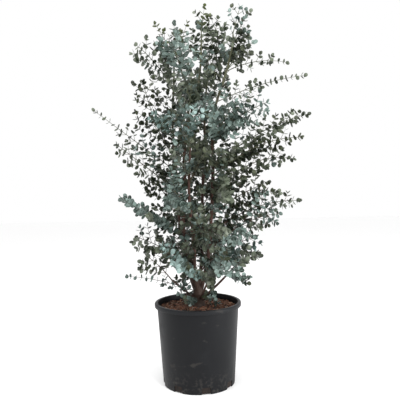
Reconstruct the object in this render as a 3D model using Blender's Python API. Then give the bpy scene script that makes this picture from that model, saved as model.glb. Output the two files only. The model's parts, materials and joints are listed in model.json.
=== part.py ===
"""Potted cider gum: a young gum tree of several stems, about 1.75 m tall, in a round nursery pot.

Metres, +Z up. The origin is the centre of the pot's flat underside. +X is to the right of the
photograph that the tree was measured from, and -Y is towards its viewer. Azimuths are in degrees,
anticlockwise from +X as seen from above.
"""

import math
import random
from typing import NamedTuple

import bmesh
import bpy
import numpy as np
from mathutils import Matrix, Vector

GAP = 0.0003
TOLERANCE = 0.00001
SEED = 41
GOLDEN_SHARE = 0.618

# Pot: a tapered body, a rolled lip that is open below, and slots round its foot.
POT_HEIGHT = 0.374
POT_SIDES = 48
BASE_RADIUS = 0.165
BODY_TOP_RADIUS = 0.1885
RIM_RADIUS = 0.200
POT_WALL = 0.003
POT_FLOOR = 0.004
LIP_DEPTH = 0.018
LIP_ROUND = 0.005
EDGE_ROUND = 0.002
SLOT_COUNT = 8
SLOT_WIDTH = 0.042
SLOT_HEIGHT = 0.032
SLOT_DEPTH = 0.022
SLOT_CORNER = 0.0085
SLOT_CORNER_STEPS = 3
FIRST_SLOT_AZIMUTH = -79.0
POT_SHARP_ANGLE = 30.0

# Potting mix: fills the pot to a little under the rim, level round the stem, lower by the wall.
MIX_TOP = 0.351
MIX_EDGE_DROP = 0.006
MIX_LEVEL_RADIUS = 0.045
MIX_RINGS = 4
MIX_ROUGHNESS = 0.0016

# Trunk: a flared butt with a flat foot, then the middle leader.
TRUNK_TOP = 1.60
TRUNK_FOOT_X = 0.004
BUTT_TOP = 0.405
FORK_TOP = 0.468
BUTT_RADIUS = 0.0265
FLARE = 0.0075
FLARE_HEIGHT = 0.012
FLARE_RINGS = (0.0, 0.006, 0.016, 0.032)
FORK_RINGS = 5
LEADER_RINGS = 13
LEADER_RADIUS = 0.0105
LEADER_TIP_RADIUS = 0.0024
TRUNK_SIDES = 10

# Limbs: rings crowd towards the foot, where a limb bends most.
LIMB_SIDES = 8
LIMB_LEAST_RINGS = 5
LIMB_RING_STEP = 0.15
LIMB_RING_CROWDING = 1.4
TAPER_POWER = 0.6
SWAY = 0.005
SWAY_WAVE = 0.42
SWAY_RISE = 0.22
LIMB_SHARP_ANGLE = 50.0

# Foliage: three-sided stems and twigs, and round leaves that stand across them in pairs.
STEM_RADIUS = 0.0042
STEM_TIP_RADIUS = 0.0020
STEM_POINTS = 5
STEM_SWAY = 0.022
STEM_SWAY_WAVE = 97.0
BARE_SHARE = 0.18
BARE_LENGTH = 0.040
LEAST_STEM_SHARE = 0.5
NODE_STEP = 0.050
SLIM_NODE_STEP = 0.060
NODE_OFFSET = 0.35
NODE_TURN_SPREAD = 0.25
SLIM_BREADTH = 0.05
FOOT_BREADTH = 1.25
TIP_BREADTH = 0.5
TWIG_RADIUS = 0.0026
TWIG_TIP_RADIUS = 0.0018
TWIG_ANGLE = 52.0
TWIG_ANGLE_SPREAD = 8.0
TWIG_TRIES = (1.0, 0.7)
TWIG_START = 0.014
LEAST_TWIG = 0.035
TWIG_WITH_PAIR = 0.060
TWIG_PAIR_SHARE = 0.55
BROAD_LEAF = 0.078
SLIM_LEAF = 0.052
LEAF_SHARE = 0.32
LEAF_SIZES = (1.0, 0.85, 0.7, 0.58)
LEAF_THICKNESS = 0.0022
LEAF_OUTLINE = ((0.37, 0.41), (0.83, 0.36))
LEAF_CROWN_SHARE = 0.36
LEAF_ANGLE = 68.0
LEAF_TWIST = 32.0
LEAF_SINK = 0.007
END_LEAF_SHARE = 0.8
END_LEAF_ROOM = 0.3
END_LEAF_ANGLE = 84.0
END_LEAF_TWIST = 45.0
INFILL_BREADTH = 0.13
INFILL_RISE = (0.09, 0.19)
INFILL_ARCH = 0.02
INFILL_LEAST_SWING = 0.35

# Own space: half the least difference in distance between two stems, and the room left to a limb.
SPACE_MARGIN = 0.0025
LIMB_CLEARANCE = 0.004
STEM_SAMPLES = 60
LIMB_SAMPLES = 200


class Bend(NamedTuple):
    """A smooth shift of a stem to one side: the height it starts at, its rise and its reach."""

    start: float
    rise: float
    reach: float


TRUNK_LEFTWARD = Bend(0.42, 0.26, -0.060)
TRUNK_RIGHTWARD = Bend(0.95, 0.66, 0.101)
TRUNK_BACKWARD = Bend(0.50, 0.60, 0.012)


class Limb(NamedTuple):
    """A leader or a low bough, which springs from the butt and bends out to one side."""

    name: str
    foot_height: float
    top_height: float
    azimuth: float
    spread: float
    settle: float
    lean: float
    lean_azimuth: float
    lean_from: float
    foot_radius: float
    tip_radius: float


class Spray(NamedTuple):
    """The stem of one mass of leaves: where it leaves its limb, and how it reaches its tip."""

    name: str
    limb: str
    height: float
    azimuth: float
    reach: float
    rise: float
    arch: float = 0.02
    breadth: float = 0.10


LIMBS = (
    Limb("right_leader", 0.392, 1.60, -14.0, 0.083, 0.22, 0.100, 2.0, 1.17, 0.0095, 0.0026),
    Limb("left_leader", 0.396, 1.56, 158.0, 0.118, 0.27, 0.016, 20.0, 1.20, 0.0085, 0.0026),
    Limb("back_leader", 0.392, 1.50, 72.0, 0.125, 0.30, 0.045, -60.0, 1.00, 0.0085, 0.0026),
    Limb("front_leader", 0.394, 1.36, 254.0, 0.120, 0.26, 0.030, 80.0, 0.90, 0.0080, 0.0026),
    Limb("low_bough_right", 0.374, 0.510, -28.0, 0.150, 0.40, 0.0, 0.0, 0.50, 0.0066, 0.0038),
    Limb("low_bough_left", 0.378, 0.480, 190.0, 0.125, 0.40, 0.0, 0.0, 0.45, 0.0058, 0.0036),
    Limb("low_bough_front", 0.374, 0.490, -72.0, 0.140, 0.40, 0.0, 0.0, 0.48, 0.0060, 0.0036),
    Limb("low_bough_back", 0.376, 0.500, 112.0, 0.140, 0.40, 0.0, 0.0, 0.48, 0.0060, 0.0036),
)

SPRAYS = (
    Spray("right_spray_1", "right_leader", 1.43, -2, 0.286, 0.03, 0.025, 0.05),
    Spray("right_spray_2", "right_leader", 1.29, 3, 0.422, 0.12, 0.020, 0.05),
    Spray("right_spray_3", "right_leader", 1.12, -22, 0.268, 0.15, 0.020, 0.09),
    Spray("right_spray_4", "right_leader", 1.00, 8, 0.469, 0.24, 0.035, 0.06),
    Spray("right_spray_5", "right_leader", 0.95, -4, 0.414, 0.17, 0.050, 0.07),
    Spray("right_spray_6", "right_leader", 0.88, 16, 0.423, 0.15, 0.060, 0.07),
    Spray("right_spray_7", "right_leader", 0.77, -22, 0.282, 0.15, 0.020, 0.11),
    Spray("right_spray_8", "right_leader", 0.69, 10, 0.444, 0.14, 0.045, 0.07),
    Spray("right_spray_9", "right_leader", 0.61, -18, 0.340, 0.17, 0.040, 0.11),
    Spray("right_spray_10", "right_leader", 0.55, 18, 0.261, 0.11, 0.020, 0.10),
    Spray("low_spray_right", "low_bough_right", 0.51, 12, 0.150, 0.09, 0.020, 0.09),
    Spray("low_spray_front_right", "low_bough_right", 0.48, -50, 0.150, 0.02, 0.030, 0.08),
    Spray("left_spray_1", "left_leader", 1.52, 187, 0.090, 0.16, 0.000, 0.05),
    Spray("left_spray_2", "left_leader", 1.37, 193, 0.178, 0.20, 0.020, 0.08),
    Spray("left_spray_3", "left_leader", 1.06, 217, 0.170, 0.34, -0.060, 0.10),
    Spray("left_spray_4", "left_leader", 0.98, 178, 0.390, 0.30, 0.000, 0.05),
    Spray("left_spray_5", "left_leader", 0.89, 200, 0.291, 0.22, 0.000, 0.07),
    Spray("left_spray_6", "left_leader", 0.78, 160, 0.140, 0.17, 0.010, 0.10),
    Spray("left_spray_7", "left_leader", 0.67, 202, 0.300, 0.20, 0.000, 0.09),
    Spray("left_spray_8", "left_leader", 0.55, 184, 0.245, 0.13, 0.010, 0.10),
    Spray("low_spray_left", "low_bough_left", 0.48, 196, 0.120, 0.12, 0.010, 0.08),
    Spray("low_spray_far_left", "trunk", 0.415, 174, 0.345, 0.075, 0.015, 0.05),
    Spray("top_spray_middle", "trunk", 1.60, 60, 0.020, 0.10, 0.000, 0.06),
    Spray("top_spray_back", "back_leader", 1.50, 20, 0.060, 0.22, 0.000, 0.07),
    Spray("top_spray_right", "right_leader", 1.60, -20, 0.040, 0.13, 0.000, 0.05),
    Spray("top_spray_far_right", "right_leader", 1.54, 30, 0.110, 0.18, 0.020, 0.05),
    Spray("top_spray_right_front", "right_leader", 1.44, -24, 0.110, 0.15, -0.010, 0.07),
    Spray("top_spray_left", "left_leader", 1.56, 0, 0.020, 0.08, 0.000, 0.06),
    Spray("top_spray_left_front", "left_leader", 1.46, -36, 0.090, 0.21, 0.000, 0.05),
    Spray("low_shoot_left", "trunk", 0.372, 222, 0.100, 0.04, 0.015, 0.04),
    Spray("low_shoot_right", "trunk", 0.370, -38, 0.105, 0.02, 0.010, 0.04),
    Spray("low_spray_front", "low_bough_front", 0.49, -62, 0.180, 0.10, 0.020, 0.10),
    Spray("low_spray_back", "low_bough_back", 0.50, 104, 0.190, 0.11, 0.020, 0.10),
)


class Infill(NamedTuple):
    """Sprays spaced up one limb by rule, where the crown faces the viewer or is out of sight."""

    prefix: str
    limb: str
    count: int
    lowest: float
    highest: float
    azimuth: float
    swing: float
    low_reach: float
    high_reach: float


INFILLS = (
    Infill("front_spray", "front_leader", 7, 0.50, 1.34, 262.0, 44.0, 0.235, 0.100),
    Infill("front_right_spray", "right_leader", 2, 0.84, 1.08, -68.0, 16.0, 0.210, 0.190),
    Infill("back_spray", "back_leader", 7, 0.50, 1.42, 80.0, 48.0, 0.250, 0.100),
)


def clear_scene():
    """Removes every object that the scene opened with."""
    for obj in list(bpy.data.objects):
        bpy.data.objects.remove(obj)


def surface(name, colour, roughness, metallic=0.0):
    """A plain material in the colour that the photograph shows."""
    material = bpy.data.materials.new(name)
    material.use_nodes = True
    shader = material.node_tree.nodes["Principled BSDF"]
    shader.inputs["Base Color"].default_value = (*colour, 1.0)
    shader.inputs["Roughness"].default_value = roughness
    shader.inputs["Metallic"].default_value = metallic
    return material


def add_object(name, mesh, collection=None):
    """Links a new object that shows this mesh."""
    obj = bpy.data.objects.new(name, mesh)
    (collection or bpy.context.scene.collection).objects.link(obj)
    return obj


def mesh_of(name, points, faces):
    """A mesh from points and faces."""
    mesh = bpy.data.meshes.new(name)
    mesh.from_pydata([tuple(point) for point in points], [], faces)
    mesh.validate()
    return mesh


def dress(obj, material, foot, whole_plant):
    """Gives an object its material, puts its origin at its own foot and parents it to the plant."""
    obj.data.materials.clear()
    obj.data.materials.append(material)
    obj.data.transform(Matrix.Translation(-Vector(foot)))
    obj.location = foot
    obj.parent = whole_plant


def body_radius(height):
    """The pot body's outer radius at a height."""
    return mix(BASE_RADIUS, BODY_TOP_RADIUS, min(height / (POT_HEIGHT - LIP_DEPTH), 1.0))


def turned(name, profile, sides):
    """A solid turned about Z from (radius, height) points that start and end on the axis."""
    shape = bmesh.new()
    points = [shape.verts.new((radius, 0.0, height)) for radius, height in profile]
    edges = [shape.edges.new(pair) for pair in zip(points, points[1:])]
    bmesh.ops.spin(
        shape,
        geom=points + edges,
        axis=(0.0, 0.0, 1.0),
        cent=(0.0, 0.0, 0.0),
        steps=sides,
        angle=math.tau,
        use_merge=True,
    )
    bmesh.ops.remove_doubles(shape, verts=shape.verts, dist=1e-6)
    bmesh.ops.recalc_face_normals(shape, faces=shape.faces)
    mesh = bpy.data.meshes.new(name)
    shape.to_mesh(mesh)
    shape.free()
    return mesh


def apply_modifiers(obj):
    """Replaces an object's mesh by what its modifiers make of it."""
    graph = bpy.context.evaluated_depsgraph_get()
    made = bpy.data.meshes.new_from_object(obj.evaluated_get(graph))
    obj.modifiers.clear()
    obj.data = made


def drop_collection(collection):
    """Removes a collection of cutters or leaves, and what it holds."""
    for obj in list(collection.objects):
        bpy.data.objects.remove(obj)
    bpy.data.collections.remove(collection)


def shade(obj, sharp_angle):
    """Shades an object smooth, except at edges sharper than this angle."""
    obj.data.shade_smooth()
    obj.data.set_sharp_from_angle(angle=math.radians(sharp_angle))


def unit(vector):
    """A vector at length 1."""
    return vector / np.linalg.norm(vector)


def cut_by(obj, cutter):
    """Cuts another object's shape from this one."""
    boolean = obj.modifiers.new("cut", "BOOLEAN")
    boolean.operation = "DIFFERENCE"
    boolean.object = cutter


def direction_at(azimuth):
    """The level unit vector at an azimuth."""
    turn = math.radians(azimuth)
    return np.array([math.cos(turn), math.sin(turn), 0.0])


def ease(value):
    """0 below 0, 1 above 1, and a smooth curve between them."""
    value = np.clip(value, 0.0, 1.0)
    return value * value * (3.0 - 2.0 * value)


def mix(low, high, share):
    """A value part of the way from low to high."""
    return low + (high - low) * share


def shift(bend, heights):
    """How far a bend has carried a stem aside at these heights."""
    return bend.reach * ease((heights - bend.start) / bend.rise)


def sway(heights, phase):
    """A slow wave of a stem from side to side."""
    return SWAY * np.sin(heights / SWAY_WAVE * math.tau + phase)


def trunk_points(heights):
    """The trunk's middle line: left above the fork, back past the middle higher up."""
    heights = np.asarray(heights, float)
    waver = sway(heights, 0.0) * ease((heights - FORK_TOP) / SWAY_RISE)
    across = TRUNK_FOOT_X + shift(TRUNK_LEFTWARD, heights) + shift(TRUNK_RIGHTWARD, heights)
    return np.stack([across + waver, shift(TRUNK_BACKWARD, heights) - waver, heights], axis=-1)


def trunk_radius(heights):
    """The middle leader's taper, thickened to the butt below the fork, with the root flare at the mix."""
    heights = np.asarray(heights, float)
    share = np.clip((heights - FORK_TOP) / (TRUNK_TOP - FORK_TOP), 0.0, 1.0)
    leader = LEADER_TIP_RADIUS + (LEADER_RADIUS - LEADER_TIP_RADIUS) * (1.0 - share) ** TAPER_POWER
    butt = ease((FORK_TOP - heights) / (FORK_TOP - BUTT_TOP))
    flare = FLARE * np.exp(-(heights - MIX_TOP) / FLARE_HEIGHT)
    return leader + (BUTT_RADIUS - LEADER_RADIUS) * butt + flare


def limb_points(limb, heights):
    """A limb's middle line: out from the butt at once, then more and more upright, with a lean above."""
    heights = np.asarray(heights, float)
    climbed = heights - limb.foot_height
    whole = limb.top_height - limb.foot_height
    out = limb.spread * (1.0 - np.exp(-climbed / limb.settle)) / (1.0 - math.exp(-whole / limb.settle))
    lean = limb.lean * ease((heights - limb.lean_from) / (limb.top_height - limb.lean_from))
    waver = sway(heights, math.radians(limb.azimuth)) * ease(climbed / SWAY_RISE)
    points = out[:, None] * direction_at(limb.azimuth)
    points += waver[:, None] * direction_at(limb.azimuth + 90.0)
    points += lean[:, None] * direction_at(limb.lean_azimuth)
    points += trunk_points([limb.foot_height])[0] * (1, 1, 0)
    return points + heights[:, None] * (0, 0, 1)


def limb_radius(limb, heights):
    """A limb's taper, slow at first and quicker near its tip."""
    share = (np.asarray(heights, float) - limb.foot_height) / (limb.top_height - limb.foot_height)
    return limb.tip_radius + (limb.foot_radius - limb.tip_radius) * (1.0 - share) ** TAPER_POWER


def tube(points, radii, sides):
    """Points and faces of a closed tube round a path, with rings carried along without twisting."""
    never_along = (0.31, 0.95, 0.05)
    points = np.asarray(points, float)
    tangents = np.gradient(points, axis=0)
    tangents /= np.linalg.norm(tangents, axis=1)[:, None]
    across = unit(np.cross(tangents[0], never_along))
    corners = []
    for point, tangent, radius in zip(points, tangents, radii):
        across = unit(across - tangent * across.dot(tangent))
        lift = np.cross(tangent, across)
        for side in range(sides):
            turn = math.tau * side / sides
            corners.append(point + radius * (math.cos(turn) * across + math.sin(turn) * lift))
    faces = [
        (ring * sides + side, ring * sides + (side + 1) % sides,
         (ring + 1) * sides + (side + 1) % sides, (ring + 1) * sides + side)
        for ring in range(len(points) - 1)
        for side in range(sides)
    ]
    faces.append(tuple(reversed(range(sides))))
    faces.append(tuple(range(len(corners) - sides, len(corners))))
    return corners, faces


def trunk_mesh(name, grow=0.0):
    """The trunk from its flat cut on the mix to its tip, larger all round by grow."""
    flare = [MIX_TOP + GAP - grow + step for step in FLARE_RINGS]
    fork = np.linspace(BUTT_TOP, FORK_TOP, FORK_RINGS)
    leader = np.linspace(FORK_TOP, TRUNK_TOP + grow, LEADER_RINGS + 1)[1:]
    heights = np.concatenate([flare, fork, leader])
    return mesh_of(name, *tube(trunk_points(heights), trunk_radius(heights) + grow, TRUNK_SIDES))


def limb_mesh(limb, grow=0.0):
    """One limb from inside the butt to its tip, larger all round by grow."""
    rings = LIMB_LEAST_RINGS + int((limb.top_height - limb.foot_height) / LIMB_RING_STEP)
    shares = np.linspace(0.0, 1.0, rings) ** LIMB_RING_CROWDING
    heights = mix(limb.foot_height, limb.top_height, shares)
    points = limb_points(limb, heights)
    points[-1] += grow * unit(points[-1] - points[-2])
    return mesh_of(limb.name, *tube(points, limb_radius(limb, heights) + grow, LIMB_SIDES))


def limb_place(name, height):
    """The point on a limb's middle line at a height."""
    if name == "trunk":
        return trunk_points([height])[0]
    limb = next(limb for limb in LIMBS if limb.name == name)
    return limb_points(limb, [height])[0]


def infill_sprays(infill):
    """Sprays that climb one limb in even steps, swinging from side to side, shorter towards the top."""
    for number in range(infill.count):
        share = number / (infill.count - 1)
        side = 1 if number % 2 else -1
        swing = infill.swing * side * mix(INFILL_LEAST_SWING, 1.0, (number * GOLDEN_SHARE) % 1.0)
        yield Spray(
            f"{infill.prefix}_{number + 1}",
            infill.limb,
            mix(infill.lowest, infill.highest, share),
            infill.azimuth + swing,
            mix(infill.low_reach, infill.high_reach, share),
            mix(*INFILL_RISE, share),
            INFILL_ARCH,
            INFILL_BREADTH,
        )


def stem_points(spray, shares):
    """A spray's stem: out and up to its tip, bowed upwards by its arch, and swayed aside a little."""
    shares = np.asarray(shares, float)
    bow = shares * (1.0 - shares)
    aside = STEM_SWAY * math.sin(spray.height * STEM_SWAY_WAVE + spray.azimuth)
    points = spray.reach * shares[:, None] * direction_at(spray.azimuth)
    points += (spray.rise * shares + 4.0 * spray.arch * bow)[:, None] * (0, 0, 1)
    points += aside * bow[:, None] * direction_at(spray.azimuth + 90.0)
    return points + limb_place(spray.limb, spray.height)


class Space:
    """Tells which points lie in a spray's own space: nearer to its stem than to any other, clear of limbs."""

    def __init__(self, sprays):
        samples = np.linspace(0.0, 1.0, STEM_SAMPLES)
        self.stems = [stem_points(spray, samples) for spray in sprays]
        heights = np.linspace(MIX_TOP, TRUNK_TOP, LIMB_SAMPLES)
        points = [trunk_points(heights)]
        radii = [trunk_radius(heights)]
        for limb in LIMBS:
            heights = np.linspace(limb.foot_height, limb.top_height, LIMB_SAMPLES)
            points.append(limb_points(limb, heights))
            radii.append(limb_radius(limb, heights))
        self.limb_points = np.concatenate(points)
        self.limb_radii = np.concatenate(radii)

    def holds(self, index, points):
        """Whether all the points belong to one spray."""
        points = np.asarray(points, float)
        nearest = [
            np.linalg.norm(points[:, None] - stem[None], axis=2).min(axis=1) for stem in self.stems
        ]
        own = nearest.pop(index)
        if (np.min(nearest, axis=0) - own < 2.0 * SPACE_MARGIN).any():
            return False
        to_limbs = np.linalg.norm(points[:, None] - self.limb_points[None], axis=2) - self.limb_radii
        if (to_limbs < LIMB_CLEARANCE).any():
            return False
        in_pot = (points[:, 2] < POT_HEIGHT + LIMB_CLEARANCE) & (
            np.hypot(points[:, 0], points[:, 1]) > BODY_TOP_RADIUS - POT_WALL - LIMB_CLEARANCE
        )
        return not (in_pot | (points[:, 2] < MIX_TOP + LIMB_CLEARANCE)).any()


class Leaf(NamedTuple):
    """A round leaf: its root, the way it points, the way its blade faces, and its length."""

    root: np.ndarray
    along: np.ndarray
    normal: np.ndarray
    length: float

    def place(self, along, across, off=0.0):
        """A point of the leaf, in shares of its length along and across, and metres off its blade."""
        aside = np.cross(self.normal, self.along)
        return self.root + self.length * (along * self.along + across * aside) + off * self.normal

    def outline(self):
        """The rim's corners: the root, one side, the tip and the other side."""
        near_side = [self.place(along, across) for along, across in LEAF_OUTLINE]
        far_side = [self.place(along, -across) for along, across in reversed(LEAF_OUTLINE)]
        return [self.root, *near_side, self.place(1.0, 0.0), *far_side]

    def samples(self):
        """Points spread over the blade, all of them away from its root."""
        corners = self.outline()
        middle = self.place(0.5, 0.0)
        edges = [(start + end) / 2 for start, end in zip(corners, corners[1:] + corners[:1])]
        return corners[1:] + edges + [(corner + middle) / 2 for corner in corners[1:]] + [middle]

    def solid(self):
        """A lens of a few faces: a rim of points round the blade, and a low crown on each side."""
        rim = self.outline()
        count = len(rim)
        crowns = [
            self.place(LEAF_CROWN_SHARE, 0.0, LEAF_THICKNESS / 2),
            self.place(LEAF_CROWN_SHARE, 0.0, -LEAF_THICKNESS / 2),
        ]
        faces = [((step + 1) % count, step, count) for step in range(count)]
        faces += [(step, (step + 1) % count, count + 1) for step in range(count)]
        return rim + crowns, faces


def leaf_at(root, tangent, outward, length, angle, twist):
    """A leaf that stands out from a twig at an angle, with its blade across the twig."""
    lean = math.radians(angle)
    along = unit(math.cos(lean) * tangent + math.sin(lean) * outward)
    facing = unit(tangent - along * tangent.dot(along))
    aside = np.cross(facing, along)
    turn = math.radians(twist)
    return Leaf(root, along, math.cos(turn) * facing + math.sin(turn) * aside, length)


def directions_round(tangent):
    """Two unit vectors square to a tangent, the first of them level unless the tangent is upright."""
    least_slant = 0.2
    level = np.cross(tangent, (0.0, 0.0, 1.0))
    if np.linalg.norm(level) < least_slant:
        level = np.cross(tangent, (0.0, 1.0, 0.0))
    side = unit(level)
    return side, np.cross(side, tangent)


class Growth:
    """The twigs and leaves that one stem bears, by the rule that all the sprays follow.

    Nodes stand at even steps along the stem. They bear a pair of side twigs and a pair of leaves in
    turn, each pair a quarter turn on from the last. A twig or a leaf that leaves the spray's own space
    is skipped, a long twig only after a shorter one has been tried.
    """

    def __init__(self, spray, index, space):
        self.index = index
        self.space = space
        self.chance = random.Random(SEED + index)
        self.breadth = spray.breadth
        self.slim = spray.breadth <= SLIM_BREADTH
        self.length = math.hypot(spray.reach, spray.rise)
        broad = min(max(LEAF_SHARE * self.length, SLIM_LEAF), BROAD_LEAF)
        self.leaf_length = SLIM_LEAF if self.slim else broad
        self.stem_end = max(1.0 - END_LEAF_SHARE * self.leaf_length / self.length, LEAST_STEM_SHARE)
        self.bends = np.linspace(0.0, self.stem_end, STEM_POINTS)
        self.line = stem_points(spray, self.bends)
        self.twigs = []
        self.leaves = []
        self.grow()

    def grow(self):
        """Bears a pair at every node, and a leaf at the stem's end."""
        first = min(max(BARE_SHARE, BARE_LENGTH / self.length), self.stem_end / 2)
        step = SLIM_NODE_STEP if self.slim else NODE_STEP
        count = max(2, round((self.stem_end - first) * self.length / step))
        roll = self.chance.uniform(0.0, math.tau)
        for node in range(count):
            roll += math.pi / 2 + self.chance.uniform(-NODE_TURN_SPREAD, NODE_TURN_SPREAD)
            share = mix(first, self.stem_end, (node + NODE_OFFSET) / count)
            reach = self.breadth * mix(FOOT_BREADTH, TIP_BREADTH, node / count)
            self.add_node(share, roll, reach, bears_leaves=node % 2 == 1)
        self.add_end_leaf(self.line[-1], unit(self.line[-1] - self.line[-2]))

    def add_node(self, share, roll, reach, bears_leaves):
        """A pair at one node: two leaves, two twigs, or a twig and a leaf on a narrow spray."""
        root = np.array([np.interp(share, self.bends, values) for values in self.line.T])
        bend = np.searchsorted(self.bends, share)
        tangent = unit(self.line[bend] - self.line[bend - 1])
        side, lift = directions_round(tangent)
        for half_turn in (0, 1):
            turn = roll + math.pi * half_turn
            outward = math.cos(turn) * side + math.sin(turn) * lift
            narrow = half_turn and self.breadth < INFILL_BREADTH
            if self.slim or narrow or bears_leaves:
                self.add_side_leaf(root, tangent, outward)
            else:
                self.add_twig(root, tangent, outward, reach)

    def add_leaf(self, leaf):
        """Keeps a leaf at the largest size that fits the spray's own space, if any does."""
        for size in LEAF_SIZES:
            sized = leaf._replace(length=leaf.length * size)
            if self.space.holds(self.index, sized.samples()):
                self.leaves.append(sized)
                return

    def add_side_leaf(self, root, tangent, outward):
        """A leaf that stands out from a stem or a twig."""
        twist = self.chance.uniform(-LEAF_TWIST, LEAF_TWIST)
        self.add_leaf(leaf_at(root, tangent, outward, self.leaf_length, LEAF_ANGLE, twist))

    def add_end_leaf(self, tip, tangent):
        """A leaf that carries on past a tip."""
        twist = self.chance.uniform(-END_LEAF_TWIST, END_LEAF_TWIST)
        root = tip - LEAF_SINK * tangent
        across = directions_round(tangent)[0]
        self.add_leaf(leaf_at(root, across, tangent, self.leaf_length, END_LEAF_ANGLE, twist))

    def add_twig(self, root, tangent, outward, reach):
        """A side twig with a leaf at its end, and a pair on its way if it is long."""
        lean = math.radians(TWIG_ANGLE + self.chance.uniform(-TWIG_ANGLE_SPREAD, TWIG_ANGLE_SPREAD))
        along = unit(math.cos(lean) * tangent + math.sin(lean) * outward)
        length = self.twig_length(root, along, reach)
        if length is None:
            return
        tip = root + length * along
        self.twigs.append((root, tip))
        self.add_end_leaf(tip, along)
        if length > TWIG_WITH_PAIR:
            middle = mix(root, tip, TWIG_PAIR_SHARE)
            across = directions_round(along)[0]
            self.add_side_leaf(middle, along, across)
            self.add_side_leaf(middle, along, -across)

    def twig_length(self, root, along, reach):
        """The longest length to try that keeps to the spray's own space, or None."""
        for share in TWIG_TRIES:
            length = reach * share
            beyond = length + END_LEAF_ROOM * self.leaf_length
            path = np.linspace(root + TWIG_START * along, root + beyond * along, STEM_POINTS)
            if length > LEAST_TWIG and self.space.holds(self.index, path):
                return length
        return None


def keep_outer_body(mesh):
    """Drops loose scraps and fills sealed hollows: only the largest closed shell stays."""
    shape = bmesh.new()
    shape.from_mesh(mesh)
    shape.verts.ensure_lookup_table()
    unseen = set(shape.verts)
    shells = []
    while unseen:
        shell, edge_of_shell = set(), [unseen.pop()]
        while edge_of_shell:
            vert = edge_of_shell.pop()
            shell.add(vert)
            for edge in vert.link_edges:
                other = edge.other_vert(vert)
                if other in unseen:
                    unseen.remove(other)
                    edge_of_shell.append(other)
        shells.append(shell)
    shells.sort(key=len, reverse=True)
    loose = [vert for shell in shells[1:] for vert in shell]
    bmesh.ops.delete(shape, geom=loose, context="VERTS")
    shape.to_mesh(mesh)
    shape.free()


def fused_spray(spray, index, space, cutter):
    """One mass of leaves as one solid: stem, twigs and leaves joined, and cut clear of its limb."""
    growth = Growth(spray, index, space)
    radii = np.linspace(STEM_RADIUS, STEM_TIP_RADIUS, STEM_POINTS)
    stem = add_object(spray.name, mesh_of(spray.name, *tube(growth.line, radii, 3)))
    borne = bpy.data.collections.new(spray.name)
    for ends in growth.twigs:
        shape = tube(ends, (TWIG_RADIUS, TWIG_TIP_RADIUS), 3)
        add_object("twig", mesh_of("twig", *shape), borne)
    for leaf in growth.leaves:
        add_object("leaf", mesh_of("leaf", *leaf.solid()), borne)
    join = stem.modifiers.new("join", "BOOLEAN")
    join.operation = "UNION"
    join.operand_type = "COLLECTION"
    join.collection = borne
    cut_by(stem, cutter)
    apply_modifiers(stem)
    drop_collection(borne)
    keep_outer_body(stem.data)
    return stem


def slot_cutter(azimuth, collection):
    """A block with a rounded top that cuts one slot through the foot of the pot."""
    shape = bmesh.new()
    bmesh.ops.create_cube(shape, size=1.0)
    bmesh.ops.scale(shape, vec=(2.0 * SLOT_DEPTH, SLOT_WIDTH, 2.0 * SLOT_HEIGHT), verts=shape.verts)
    upper = [edge for edge in shape.edges if all(vert.co.z > 0 for vert in edge.verts)]
    ends = [edge for edge in upper if abs(edge.verts[0].co.y - edge.verts[1].co.y) < TOLERANCE]
    bmesh.ops.bevel(
        shape,
        geom=ends,
        offset=SLOT_CORNER,
        segments=SLOT_CORNER_STEPS,
        profile=0.5,
        affect="EDGES",
    )
    mesh = bpy.data.meshes.new("slot")
    shape.to_mesh(mesh)
    shape.free()
    slot = add_object("slot", mesh, collection)
    slot.location = Vector(BASE_RADIUS * direction_at(azimuth))
    slot.rotation_euler.z = math.radians(azimuth)


def pot_profile():
    """The pot's section, from the middle of its underside round its wall and lip to its floor."""
    inner_top = BODY_TOP_RADIUS - POT_WALL
    lip_bottom = POT_HEIGHT - LIP_DEPTH
    lip_inner = RIM_RADIUS - POT_WALL
    return [
        (0.0, 0.0),
        (body_radius(0.0) - EDGE_ROUND, 0.0),
        (body_radius(EDGE_ROUND), EDGE_ROUND),
        (BODY_TOP_RADIUS, lip_bottom),
        (BODY_TOP_RADIUS, POT_HEIGHT - POT_WALL),
        (lip_inner, POT_HEIGHT - POT_WALL - EDGE_ROUND),
        (lip_inner, lip_bottom),
        (RIM_RADIUS, lip_bottom),
        (RIM_RADIUS, POT_HEIGHT - LIP_ROUND),
        (RIM_RADIUS - LIP_ROUND, POT_HEIGHT),
        (inner_top + EDGE_ROUND, POT_HEIGHT),
        (inner_top, POT_HEIGHT - EDGE_ROUND),
        (inner_top, lip_bottom),
        (body_radius(POT_FLOOR) - POT_WALL, POT_FLOOR),
        (0.0, POT_FLOOR),
    ]


def build_pot(whole_plant, plastic):
    """The pot: body, floor and rolled lip turned in one piece, with the slots cut round its foot."""
    pot = add_object("pot", turned("pot", pot_profile(), POT_SIDES))
    slots = bpy.data.collections.new("slots")
    bpy.context.scene.collection.children.link(slots)
    for number in range(SLOT_COUNT):
        slot_cutter(FIRST_SLOT_AZIMUTH + 360.0 * number / SLOT_COUNT, slots)
    cut = pot.modifiers.new("slots", "BOOLEAN")
    cut.operation = "DIFFERENCE"
    cut.operand_type = "COLLECTION"
    cut.collection = slots
    apply_modifiers(pot)
    drop_collection(slots)
    shade(pot, POT_SHARP_ANGLE)
    dress(pot, plastic, (0.0, 0.0, 0.0), whole_plant)


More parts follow.
